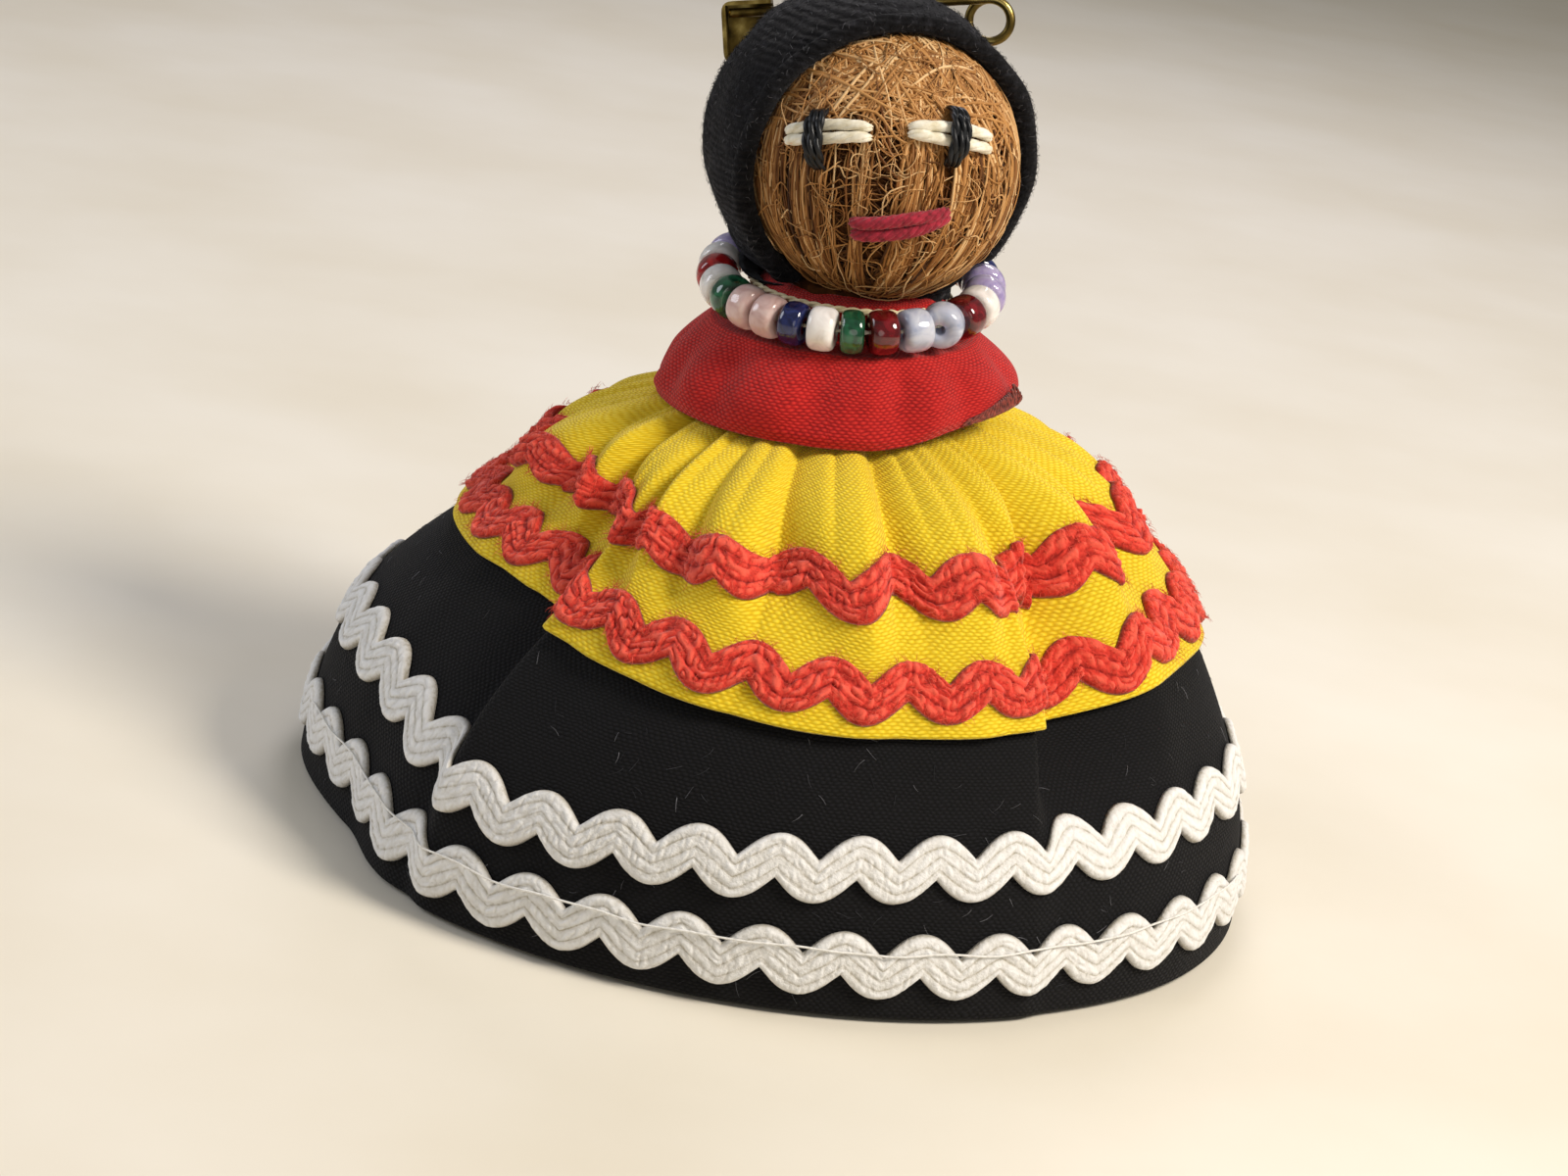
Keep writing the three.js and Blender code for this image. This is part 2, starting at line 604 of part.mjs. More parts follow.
// The arm and the back wire leave the coil a turn apart, and the pin leans forward until the back wire
// lies on the hood.
const turnApart = WIRE + COIL_GAP;
const wireSpan = Math.hypot(2 * COIL_RADIUS, turnApart);
const restRadius = HOOD_RADIUS + CLEAR + WIRE / 2;
const lean = Math.acos((restRadius ** 2 - biteRadius ** 2 - wireSpan ** 2) / (2 * biteRadius * wireSpan));
const pinUp = backward(rad(PIN_SEAT) + lean - Math.atan2(turnApart, 2 * COIL_RADIUS));
const pinAcross = pinAlong.clone().cross(pinUp);
const coilCentre = bite.clone()
  .addScaledVector(pinAlong, -PIN_BITE)
  .addScaledVector(pinUp, COIL_RADIUS)
  .addScaledVector(pinAcross, -turnApart / 2);

const pin = new THREE.Group();
pin.applyMatrix4(new THREE.Matrix4().makeBasis(pinAlong, pinUp, pinAcross).setPosition(coilCentre));
doll.add(pin);

// Hood: turned about the axis of the face, hollow for the head, cut off below just above the necklace

// Points on a circle about a centre on the axis, by the angle from the back of the head.
const onArc = (radius, angle, centre = 0) => {
  return new THREE.Vector2(radius * Math.sin(angle), centre + radius * Math.cos(angle));
};
const rimCentre = new THREE.Vector2(headRoom + HOOD_RIM_STAND + HOOD_RIM_RADIUS, -HOOD_RIM_AHEAD);
const rim = spread(1.5 * Math.PI, 0.5 * Math.PI, 7).map((turn) => onArc(HOOD_RIM_RADIUS, turn).add(rimCentre));
const innerEnd = Math.PI / 2;
const outerEnd = Math.acos((-HOOD_RIM_AHEAD + HOOD_RIM_RADIUS - HOOD_BEHIND) / HOOD_RADIUS);
const hoodProfile = [
  ...spread(0, innerEnd, 8).map((angle) => onArc(headRoom, angle)),
  ...rim,
  ...spread(outerEnd, 0, 9).map((angle) => onArc(HOOD_RADIUS, angle, HOOD_BEHIND)),
];
const hood = new THREE.Group();
hood.position.copy(headCentre);
hood.quaternion.setFromUnitVectors(vec(0, -1, 0), faceAxis);
hood.updateMatrix();
doll.add(hood);
const intoHood = hood.matrix.clone().invert();

const reach = 4 * HOOD_RADIUS;
const belowEdge = new THREE.BoxGeometry(reach, reach, reach).translate(0, 0, -reach / 2);
belowEdge.rotateX(rad(HOOD_EDGE_SLOPE)).rotateY(-rad(STRING_TILT.aside));
belowEdge.translate(0, 0, necklace.position.z + HOOD_EDGE_RISE);
const neckHole = new THREE.CylinderGeometry(NECK_RADIUS + CLEAR, NECK_RADIUS + CLEAR, HEAD_RADIUS, 32);
neckHole.rotateX(Math.PI / 2).translate(0, 0, headCentre.z - HEAD_RADIUS);
const pinTunnel = new THREE.CylinderGeometry(WIRE / 2 + CLEAR, WIRE / 2 + CLEAR, reach, 10);
pinTunnel.rotateZ(Math.PI / 2).translate(0, -COIL_RADIUS, turnApart / 2).applyMatrix4(pin.matrix);
const hoodTools = [belowEdge, neckHole, pinTunnel].map((tool) => tool.applyMatrix4(intoHood));
add('hood', cut(new THREE.LatheGeometry(hoodProfile, 30), ...hoodTools), BLACK_FELT, hood);

// The pin's pieces, in its own frame: X from the coil to the cap, Y from the arm to the back wire

const ACROSS = vec(0, 0, 1);

// A straight wire that comes in along the pin and winds three quarters round the coil.
// side is -1 for the wire below the coil's centre and 1 for the one above.
function pinWire(entry, side) {
  const straight = entry.map((x) => vec(x, side * COIL_RADIUS, (-side * turnApart) / 2));
  const wound = spread(0, 1.5 * Math.PI, 19).map((turn) => {
    const angle = side * (Math.PI / 2 + turn);
    return vec(COIL_RADIUS * Math.cos(angle), COIL_RADIUS * Math.sin(angle), (-side * turnApart) / 2);
  });
  return [...straight, ...wound];
}

const armPoints = pinWire([PIN_REACH, PIN_REACH - POINT_LENGTH, PIN_REACH / 2, COIL_LEAD], -1);
const sharpened = (u) => (u === 0 ? WIRE / 10 : WIRE / 2);
add('pin_arm', strand(armPoints, () => ACROSS, sharpened, sharpened, 8), BRASS, pin);

const wirePoints = pinWire([PIN_REACH, PIN_REACH / 2, COIL_LEAD], 1);
const wireHalf = even(WIRE / 2);
add('pin_back_wire', strand(wirePoints, () => ACROSS, wireHalf, wireHalf, 8), BRASS, pin);
console.log('pin wire, least gap to itself', leastSelfGap(wirePoints, WIRE).toFixed(2), 'mm');

// The cap is pressed from sheet: a leaf behind both wires, turned over them at the top and round the point,
// open to the front and below so that the arm can leave it.
const capEnd = PIN_REACH + CLEAR + CAP_WALL;
const capStart = capEnd - CAP_WIDTH;
const capTop = COIL_RADIUS + WIRE / 2 + CLEAR + CAP_WALL;
const capBottom = -COIL_RADIUS - WIRE / 2 - CLEAR;
const capInside = turnApart / 2 + WIRE / 2 + CLEAR;
const capOutline = new THREE.Shape();
capOutline.moveTo(capStart, capTop);
capOutline.lineTo(capEnd - CAP_CORNER, capTop);
capOutline.quadraticCurveTo(capEnd, capTop, capEnd, capTop - CAP_CORNER);
capOutline.lineTo(capEnd, capBottom + CAP_CORNER);
capOutline.quadraticCurveTo(capEnd, capBottom, capEnd - CAP_CORNER, capBottom);
capOutline.lineTo(capEnd - CAP_FOOT, capBottom);
capOutline.quadraticCurveTo(capEnd - CAP_FOOT, capTop / 2, capStart, capTop / 2);
capOutline.closePath();
const capBlank = new THREE.ExtrudeGeometry(capOutline, {
  depth: 2 * capInside + CAP_WALL,
  bevelEnabled: false,
  curveSegments: 5,
});
capBlank.translate(0, 0, -capInside);
const capHeight = capTop - capBottom;
const capHollow = new THREE.BoxGeometry(CAP_WIDTH, capHeight, 2 * capInside + CAP_WALL);
capHollow.translate(capEnd - CAP_WALL - CAP_WIDTH / 2, capTop - CAP_WALL - capHeight / 2, -CAP_WALL / 2);
add('pin_cap', cut(capBlank, capHollow), BRASS, pin);

// The thread and its beads

add('necklace_thread', new THREE.TorusGeometry(STRING_RADIUS, STRING_THREAD / 2, 5, 40), WHITE_THREAD, necklace);

// Pressed glass beads: colour, roughness and relative length of each kind
const BEADS = {
  red: ['#9c1418', 0.25, 1],
  ruby: ['#6a0d14', 0.15, 1.05],
  white: ['#e9e6e4', 0.25, 1],
  rose: ['#e2c8c4', 0.3, 0.95],
  opal: ['#c9cfe2', 0.2, 1.1],
  lavender: ['#bdb2d8', 0.2, 0.95],
  green: ['#1d5a3c', 0.2, 0.85],
  blue: ['#1a2250', 0.2, 0.85],
};
const beadLooks = Object.fromEntries(
  Object.entries(BEADS).map(([kind, [colour, roughness]]) => [kind, material(colour, roughness)]),
);

// In order round the neck from the doll's right side, across the front and back again behind
const STRUNG = [
  'red', 'white', 'green', 'rose', 'rose', 'blue', 'white', 'green', 'ruby', 'opal', 'opal', 'ruby', 'white',
  'lavender', 'lavender', 'blue', 'white', 'red', 'green', 'white', 'rose', 'opal', 'blue', 'red', 'white',
  'green', 'lavender', 'white',
];
const shares = STRUNG.map((kind) => BEADS[kind][2]);
const totalShare = shares.reduce((sum, share) => sum + share, 0);
const strung = 2 * Math.PI * STRING_RADIUS - STRUNG.length * BEAD_GAP;
let reached = -0.25 * 2 * Math.PI * STRING_RADIUS;
STRUNG.forEach((kind, i) => {
  const length = (strung * shares[i]) / totalShare;
  const half = length / 2;
  const profile = [
    [BEAD_BORE / 2, -half],
    [beadRadius * 0.5, -half],
    [beadRadius, -half * 0.45],
    [beadRadius, half * 0.45],
    [beadRadius * 0.5, half],
    [BEAD_BORE / 2, half],
    [BEAD_BORE / 2, -half],
  ];
  const bead = new THREE.LatheGeometry(profile.map(([x, y]) => new THREE.Vector2(x, y)), 8);
  const azimuth = (reached + half + BEAD_GAP / 2) / STRING_RADIUS;
  const mesh = add(`bead_${String(i + 1).padStart(2, '0')}`, bead, beadLooks[kind], necklace);
  mesh.position.set(STRING_RADIUS * Math.sin(azimuth), -STRING_RADIUS * Math.cos(azimuth), 0);
  mesh.rotation.z = azimuth - Math.PI / 2;
  reached += length + BEAD_GAP;
});

export default doll;
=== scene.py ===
# %% [markdown]
# # A palmetto fibre doll
# This lesson dresses the plain CAD model of a small souvenir doll. The doll has a ball head of dry palm
# fibre in a black hood, stitched eyes and mouth, a string of glass beads, a red collar, a yellow
# gathered cape, a black skirt, wavy braid on both, and a safety pin through the hood. The CAD solids
# carry the sizes and the joints, and Blender adds the cloth, the fibre and the finishes. Sizes are in
# millimetres until a mesh is made.

# %% Load the frame and note its box
import json
import math

import bmesh
import bpy
import numpy as np
from mathutils import Matrix, Vector


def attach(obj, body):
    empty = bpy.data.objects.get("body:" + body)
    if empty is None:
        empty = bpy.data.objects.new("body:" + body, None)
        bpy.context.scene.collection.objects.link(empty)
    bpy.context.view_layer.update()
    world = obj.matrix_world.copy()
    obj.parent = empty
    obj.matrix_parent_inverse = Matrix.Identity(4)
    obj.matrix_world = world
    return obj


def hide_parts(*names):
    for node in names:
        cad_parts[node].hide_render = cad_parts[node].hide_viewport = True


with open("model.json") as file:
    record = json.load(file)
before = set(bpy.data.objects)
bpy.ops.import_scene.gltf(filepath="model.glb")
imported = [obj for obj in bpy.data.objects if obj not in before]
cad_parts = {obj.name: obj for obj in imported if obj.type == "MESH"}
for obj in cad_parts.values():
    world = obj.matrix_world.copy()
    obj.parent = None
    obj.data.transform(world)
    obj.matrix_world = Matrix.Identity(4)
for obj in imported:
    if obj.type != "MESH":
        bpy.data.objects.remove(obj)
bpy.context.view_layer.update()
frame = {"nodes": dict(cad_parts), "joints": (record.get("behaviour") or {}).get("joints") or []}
scene = bpy.context.scene
MM = 0.001

# %% [markdown]
# ## Camera
# The doll was photographed from a little above, with the picture turned by about nine degrees, so the
# doll seems to lean. The model stands upright, so the camera takes the roll. It could be placed by
# hand, but the angles below were worked out from the outlines of the hem, the cape and the collar and
# from the middle of the head, so they are written as numbers.

# %% Camera at the photograph's angle
CAMERA_ELEVATION = math.radians(16.72)
CAMERA_ROLL = math.radians(9.36)
CAMERA_DISTANCE = 340
CAMERA_TARGET = Vector((0, 0, 35))
PICTURE_WIDTH = 1600
FOCAL_PIXELS = 3645.8
TARGET_OFF_CENTRE = (33.9, 102.1)


def placed(name, data):
    """A new object of the scene."""
    made = bpy.data.objects.new(name, data)
    scene.collection.objects.link(made)
    return made


camera_data = bpy.data.cameras.new("camera")
camera_data.sensor_width = 36
camera_data.lens = FOCAL_PIXELS / PICTURE_WIDTH * camera_data.sensor_width
camera_data.shift_x = -TARGET_OFF_CENTRE[0] / PICTURE_WIDTH
camera_data.shift_y = -TARGET_OFF_CENTRE[1] / PICTURE_WIDTH
camera_data.clip_start = 0.01
camera = placed("camera", camera_data)
backward = Vector((0, -math.cos(CAMERA_ELEVATION), math.sin(CAMERA_ELEVATION)))
upward = Vector((0, math.sin(CAMERA_ELEVATION), math.cos(CAMERA_ELEVATION)))
sideways = Vector((1, 0, 0))
picture_x = math.cos(CAMERA_ROLL) * sideways + math.sin(CAMERA_ROLL) * upward
picture_y = -math.sin(CAMERA_ROLL) * sideways + math.cos(CAMERA_ROLL) * upward
camera_turn = Matrix((picture_x, picture_y, backward)).transposed().to_4x4()
camera.matrix_world = Matrix.Translation((CAMERA_TARGET + CAMERA_DISTANCE * backward) * MM) @ camera_turn
scene.camera = camera
scene.view_settings.view_transform = "Standard"
print("camera lens", round(camera_data.lens, 1), "mm")

# %% [markdown]
# ## Light and floor
# A plain studio: one large soft lamp high on the right, as in the photograph, weaker ones from the
# left, the front and behind, and a pale floor. Area lamps give soft shadows with the fewest settings.
# The level is set so that a colour renders about as it is written.

# %% Lamps and world
LAMP_AIM = Vector((0, 0, 40 * MM))


def linear(hex_colour):
    """An sRGB hex colour as linear RGBA."""
    channels = [int(hex_colour[i : i + 2], 16) / 255 for i in (1, 3, 5)]
    return [c / 12.92 if c <= 0.04045 else ((c + 0.055) / 1.055) ** 2.4 for c in channels] + [1.0]


def node(tree, kind, inputs=None, stops=(), give=0, **settings):
    """Adds one shader node with its settings and links, and gives back one of its outputs.

    An input is a plain value, or a socket to link. A colour ramp has stops: positions and hex colours.
    """
    made = tree.nodes.new("ShaderNode" + kind)
    for key, value in settings.items():
        setattr(made, key, value)
    for key, value in (inputs or {}).items():
        if isinstance(value, bpy.types.NodeSocket):
            tree.links.new(value, made.inputs[key])
        else:
            made.inputs[key].default_value = value
    if stops:
        elements = made.color_ramp.elements
        while len(elements) < len(stops):
            elements.new(0.5)
        for element, (position, colour) in zip(elements, stops):
            element.position = position
            element.color = linear(colour)
    return made.outputs[give] if made.outputs else None


def lamp(name, place, size, power, colour):
    """A round area lamp that looks at the middle of the doll."""
    data = bpy.data.lights.new(name, "AREA")
    data.shape = "DISK"
    data.size = size * MM
    data.energy = power
    data.color = linear(colour)[:3]
    made = placed(name, data)
    made.location = Vector(place) * MM
    aim = LAMP_AIM - made.location
    made.rotation_euler = aim.to_track_quat("-Z", "Y").to_euler()


lamp("key_lamp", (340, -170, 400), 190, 3.0, "#fff6ea")
lamp("side_lamp", (-430, 20, 240), 260, 0.7, "#eef3ff")
lamp("front_lamp", (60, -560, 170), 300, 0.3, "#fffaf2")
lamp("back_lamp", (40, 420, 380), 260, 0.9, "#f6f4ff")

world = bpy.data.worlds.new("studio")
scene.world = world
world.use_nodes = True
sky = world.node_tree
sky.nodes.clear()
room = node(sky, "Background", {"Color": linear("#f2f0ec"), "Strength": 0.24})
pale = node(sky, "Background", {"Color": linear("#eae6de"), "Strength": 1.0})
direct = node(sky, "LightPath", give="Is Camera Ray")
through = node(sky, "LightPath", give="Is Transmission Ray")
seen = node(sky, "Math", {0: direct, 1: through}, operation="MAXIMUM")
both = node(sky, "MixShader", {0: seen, 1: room, 2: pale})
node(sky, "OutputWorld", {"Surface": both})

# %% Floor


def blank(name):
    """A new material without nodes, and its node tree."""
    made = bpy.data.materials.new(name)
    made.use_nodes = True
    made.node_tree.nodes.clear()
    return made, made.node_tree


def dress(tree, tint, bump=None, **sockets):
    """Ends a material with its colour, its bump and the other sockets, named with _ for each space.

    bump is a height, a strength and a depth in millimetres.
    """
    values = {key.replace("_", " "): value for key, value in sockets.items()}
    values["Base Color"] = tint
    if bump:
        height, strength, depth = bump
        lit = {"Height": height, "Strength": strength, "Distance": depth * MM}
        values["Normal"] = node(tree, "Bump", lit)
    node(tree, "OutputMaterial", {"Surface": node(tree, "BsdfPrincipled", values)})


# Painted board: smooth and matt, with hardly any grain.
floor_paint, tree = blank("matt painted board")
grit = node(tree, "TexNoise", {"Scale": 90.0, "Detail": 4.0})
stops = [(0.3, "#e2dac8"), (0.7, "#e9e3d5")]
tint = node(tree, "ValToRGB", {0: grit}, stops=stops)
dress(tree, tint, Roughness=0.75)

FLOOR_HALF = 2000 * MM
corners = [(-FLOOR_HALF, -FLOOR_HALF, 0), (FLOOR_HALF, -FLOOR_HALF, 0)]
corners += [(FLOOR_HALF, FLOOR_HALF, 0), (-FLOOR_HALF, FLOOR_HALF, 0)]
floor_mesh = bpy.data.meshes.new("floor")
floor_mesh.from_pydata(corners, [], [(0, 1, 2, 3)])
floor_mesh.materials.append(floor_paint)
floor = placed("floor", floor_mesh)
print("floor", round(2 * FLOOR_HALF, 1), "m wide")

# %% [markdown]
# ## Tools for soft pieces
# Nearly everything on the doll is a skin over a grid of points, such as cloth, or a round strand along
# a path, such as thread, fibre and wire. They could be modelled by hand with curves and modifiers. Here
# both are made from arrays, because a formula then sets every fold and every stitch, and the same
# formula serves what is sewn on.

# %% Pieces and skins


def piece(name, points, faces, look, body="doll", slot=None, replaces=(), uv=None, shades=None):
    """A smooth mesh piece in the part's frame, from points in millimetres, riding on a body.

    shades gives each point a value from 0 to 1 for its material to read.
    """
    mesh = bpy.data.meshes.new(name)
    mesh.from_pydata((np.asarray(points) * MM).tolist(), [], faces)
    if uv is not None:
        layer = mesh.uv_layers.new(name="cloth")
        layer.data.foreach_set("uv", np.asarray(uv, dtype=np.float32).ravel())
    if shades is not None:
        attribute = mesh.attributes.new("shade", "FLOAT", "POINT")
        attribute.data.foreach_set("value", np.asarray(shades, dtype=np.float32).ravel())
    mesh.materials.append(look)
    work = bmesh.new()
    work.from_mesh(mesh)
    bmesh.ops.recalc_face_normals(work, faces=work.faces)
    work.to_mesh(mesh)
    work.free()
    mesh.polygons.foreach_set("use_smooth", [True] * len(mesh.polygons))
    made = placed(name, mesh)
    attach(made, body)
    if replaces:
        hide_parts(*replaces)
    return made


def skin(name, points, look, uv=None, wrap_rows=False, **where):
    """A skin over a grid of points, rows by columns, whose last column joins its first."""
    rows, columns = points.shape[:2]
    row = np.arange(rows if wrap_rows else rows - 1)[:, None]
    column = np.arange(columns)[None, :]
    next_row = (row + 1) % rows
    next_column = (column + 1) % columns
    corners = [row * columns + column, row * columns + next_column]
    corners += [next_row * columns + next_column, next_row * columns + column]
    faces = np.stack(corners, axis=-1).reshape(-1, 4).tolist()
    flat_uv = None
    if uv is not None:
        across, along = uv
        u = np.broadcast_to(across[None, :], (rows + 1, columns + 1))
        v = np.broadcast_to(along[:, None], (rows + 1, columns + 1))
        r = np.broadcast_to(row, (row.shape[0], columns))
        c = np.broadcast_to(column, (row.shape[0], columns))
        pairs = [(r, c), (r, c + 1), (r + 1, c + 1), (r + 1, c)]
        flat_uv = np.stack([np.stack([u[p], v[p]], axis=-1) for p in pairs], axis=2).reshape(-1, 2) * MM
    return piece(name, points.reshape(-1, 3), faces, look, uv=flat_uv, **where)


print("skins ready")

# %% Strands and threads
UP = np.array([0, 0, 1.0])


def unit(vectors):
    return vectors / np.maximum(np.linalg.norm(vectors, axis=-1, keepdims=True), 1e-12)


def circle(angle, side, top):
    """Points of a unit circle in the plane of two unit vectors."""
    return np.cos(angle)[..., None] * side + np.sin(angle)[..., None] * top


def run_along(path):
    """The length along a path up to each of its points."""
    return np.concatenate([[0], np.cumsum(np.linalg.norm(np.diff(path, axis=0), axis=1))])


def strands(name, paths, radii, ups, look, sides=3, shades=None, **where):
    """Round strands as one piece: paths and ups are strands by points by 3, radii strands by points.

    shades has one value for each strand.
    """
    count, steps = paths.shape[:2]
    along = unit(np.gradient(paths, axis=1))
    side = unit(np.cross(along, np.broadcast_to(ups, paths.shape)))
    top = np.cross(side, along)
    angle = (np.arange(sides) + 0.5) / sides * 2 * np.pi
    ring = circle(angle, side[:, :, None, :], top[:, :, None, :])
    points = paths[:, :, None, :] + np.broadcast_to(radii, (count, steps))[:, :, None, None] * ring
    start = (np.arange(count) * steps * sides)[:, None, None]
    step = np.arange(steps - 1)[None, :, None]
    k = np.arange(sides)[None, None, :]
    here = start + step * sides
    there = here + sides
    turned = (k + 1) % sides
    quads = np.stack([here + k, there + k, there + turned, here + turned], axis=-1).reshape(-1, 4)
    first = (start + k).reshape(count, sides)
    last = first + (steps - 1) * sides
    faces = quads.tolist() + first.tolist() + last[:, ::-1].tolist()
    if shades is not None:
        shades = np.repeat(shades, steps * sides)
    return piece(name, points.reshape(-1, 3), faces, look, shades=shades, **where)


def plies(path, up, count, reach, pitch):
    """Paths of the plies of a twisted thread: they wind about one path, a turn for every pitch."""
    along = unit(np.gradient(path, axis=0))
    side = unit(np.cross(along, up))
    top = np.cross(side, along)
    angle = 2 * np.pi * (run_along(path)[None, :] / pitch + np.arange(count)[:, None] / count)
    return path + reach * circle(angle, side, top)


def fuzz(name, roots, normals, length, radius, look, seed, shades, stand=0.35, **where):
    """Short loose hairs that rise from a surface and lie over: one for each root."""
    chance = np.random.default_rng(seed)
    count = len(roots)
    lying = unit(np.cross(normals, chance.normal(size=(count, 3))))
    curl = unit(np.cross(normals, lying)) * chance.uniform(-0.5, 0.5, (count, 1))
    reach = length * chance.uniform(0.5, 1.4, (count, 1))
    u = np.linspace(0, 1, 5)[None, :, None]
    rise = stand * chance.uniform(0.3, 1.5, (count, 1))[:, None, :] * u * (1.6 - 0.8 * u)
    paths = roots[:, None, :] + reach[:, None, :] * (lying[:, None, :] * u + curl[:, None, :] * u**2)
    paths = paths + rise * length * normals[:, None, :]
    thin = radius * (1 - 0.6 * u[..., 0])
    return strands(name, paths, thin, normals[:, None, :] + 0 * paths, look, shades=shades, **where)


print("strands ready")

# %% Blending, and noise round the doll


def ease(x, low, high):
    """0 below low, 1 above high, smooth between."""
    t = np.clip((np.asarray(x, dtype=float) - low) / (high - low), 0, 1)
    return t * t * (3 - 2 * t)


def blend_to(a, b, t):
    return a + (b - a) * t


def ripple(azimuth, height, cells, spacing, seed):
    """Soft seeded noise round the doll, -1 to 1: cells round a turn, spacing in millimetres of height."""
    rows = 64
    grid = np.random.default_rng(seed).uniform(-1, 1, (rows, cells))
    column = (azimuth / (2 * np.pi)) % 1.0 * cells
    row = height / spacing + rows
    c0 = np.floor(column).astype(int)
    r0 = np.floor(row).astype(int)
    fc = ease(column - c0, 0, 1)
    fr = ease(row - r0, 0, 1)
    low = blend_to(grid[r0 % rows, c0 % cells], grid[r0 % rows, (c0 + 1) % cells], fc)
    high = blend_to(grid[(r0 + 1) % rows, c0 % cells], grid[(r0 + 1) % rows, (c0 + 1) % cells], fc)
    return blend_to(low, high, fr)


def around(steps):
    return np.arange(steps) / steps * 2 * np.pi


def direction(across, up=0):
    """Unit vectors by angles across and up from the front of the doll, in radians."""
    x = np.cos(up) * np.sin(across)
    y = -np.cos(up) * np.cos(across)
    return np.stack([x, y, np.sin(up) + 0 * across], axis=-1)


print("noise from", round(float(ripple(around(90), 0.0, 20, 5, 1).min()), 2))

# %% [markdown]
# ## Cotton
# The collar, the cape and the skirt are plain-weave cotton: one thread over, one under. At this size
# the threads, about a third of a millimetre apart, show as rows of small bumps. They could be modelled
# one by one, but a sine wave on the cloth's own UV map, which is in metres, gives the same rows at a
# real spacing. A little sheen stands for the loose fibre ends.

# %% Plain-weave cotton
PER_METRE = 1000.0


def cotton(name, shadow, colour, light, thread, bump, sheen):
    """Woven cotton: thread is the spacing in mm; the colour has a painted highlight on the crowns of the
    threads and painted shade in the gaps.
    """
    look, tree = blank(name)
    place = node(tree, "UVMap", uv_map="cloth")
    wander = node(tree, "TexNoise", {"Vector": place, "Scale": 420.0, "Detail": 3.0})
    drift = node(tree, "Math", {0: wander, 1: 2.2}, operation="MULTIPLY")
    counts = []
    for axis in "XY":
        scaled = {0: node(tree, "SeparateXYZ", {0: place}, give=axis), 1: PER_METRE / thread, 2: drift}
        counts.append(node(tree, "Math", scaled, operation="MULTIPLY_ADD"))
    across, along = counts
    row = node(tree, "Math", {0: along}, operation="FLOOR")
    row_turn = node(tree, "Math", {0: along, 1: math.pi}, operation="MULTIPLY")
    row_wave = node(tree, "Math", {0: row_turn}, operation="SINE")
    ridge = node(tree, "Math", {0: row_wave}, operation="ABSOLUTE")
    stagger = node(tree, "Math", {0: across, 1: row}, operation="ADD")
    over_turn = node(tree, "Math", {0: stagger, 1: math.pi}, operation="MULTIPLY")
    over = node(tree, "Math", {0: over_turn}, operation="SINE")
    crown = node(tree, "Math", {0: over, 1: 0.42, 2: 0.58}, operation="MULTIPLY_ADD")
    weave = node(tree, "Math", {0: ridge, 1: crown}, operation="MULTIPLY")
    slub = node(tree, "TexNoise", {"Vector": place, "Scale": 900.0, "Detail": 3.0})
    height = node(tree, "Math", {0: slub, 1: 0.5, 2: weave}, operation="MULTIPLY_ADD")
    # Painted shade: the shadow colour fills the gaps between the threads; painted highlight: the light colour
    # sits on their crowns.
    stops = [(0.2, shadow), (0.55, colour), (0.95, light)]
    tint = node(tree, "ValToRGB", {0: height}, stops=stops)
    blotch = node(tree, "TexNoise", {"Vector": place, "Scale": 60.0, "Detail": 3.0})
    tone = node(tree, "MapRange", {0: blotch, 1: 0.3, 2: 0.7, 3: 0.9, 4: 1.06})
    worn = node(tree, "HueSaturation", {"Value": tone, "Color": tint})
    soft = {"Roughness": 0.85, "Sheen_Weight": sheen, "Sheen_Roughness": 0.5, "Specular_IOR_Level": 0.18}
    dress(tree, worn, (height, bump, 0.25), **soft)
    return look


yellow_cotton = cotton("yellow plain-weave cotton", "#c9a410", "#e6c51c", "#f0d638", 0.36, 0.45, 0.15)
red_cotton = cotton("red plain-weave cotton", "#820d10", "#b11818", "#c82a24", 0.32, 0.5, 0.12)
black_cotton = cotton("black plain-weave cotton", "#060607", "#0b0b0d", "#131317", 0.32, 0.5, 0.02)
print("cottons:", yellow_cotton.name, "/", red_cotton.name, "/", black_cotton.name)

# %% [markdown]
# ## How the clothes hang
# Skirt and cape are bells that settle into folds. Cloth simulation could find folds of its own, but
# these have to be where the photograph shows them, so formulas like those in the CAD source place them:
# a radius for each height, folds with a steep side and a long one, a sway to one side and a raised
# shoulder. The first fold is the flat panel on the left, and at the next two the front panel stands
# before the side panels.

# %% The bell of the skirt and the line of the cape's hem
HEM_RADIUS = 44.4
HEM_WIDER = 0.05
HEM_LIFT = 0.4
SEAM_HEIGHT = 45
SKIRT_SEAM_RADIUS = 9.5
BELL = 2.5
CAPE_HEM_HEIGHT = 27.6
CAPE_HEM_DROP = 3
CAPE_HEM_MIDDLE = 3
CAPE_HEM_SPREAD = 75
CAPE_HEM_STAND = 1.8
CAPE_SEAM_STAND = 1.6
CAPE_PUFF = 4.6


def degrees_from(angle, azimuth):
    """Degrees from an angle to an azimuth in radians, between -180 and 180."""
    return (np.degrees(azimuth) - angle + 180) % 360 - 180


def skirt_radius(z):
    return blend_to(HEM_RADIUS, SKIRT_SEAM_RADIUS, (np.maximum(z, 0) / SEAM_HEIGHT) ** BELL)


def cape_hem(azimuth):
    aside = np.abs(degrees_from(CAPE_HEM_MIDDLE, azimuth))
    from_middle = np.minimum(aside, 180 - aside)
    return CAPE_HEM_HEIGHT - CAPE_HEM_DROP * (1 - ease(from_middle, 0, CAPE_HEM_SPREAD))


def cape_rise(azimuth, z):
    """How far up the cape a height is, from 0 at the hem to 1 at the seam."""
    return (z - cape_hem(azimuth)) / (SEAM_HEIGHT - cape_hem(azimuth))


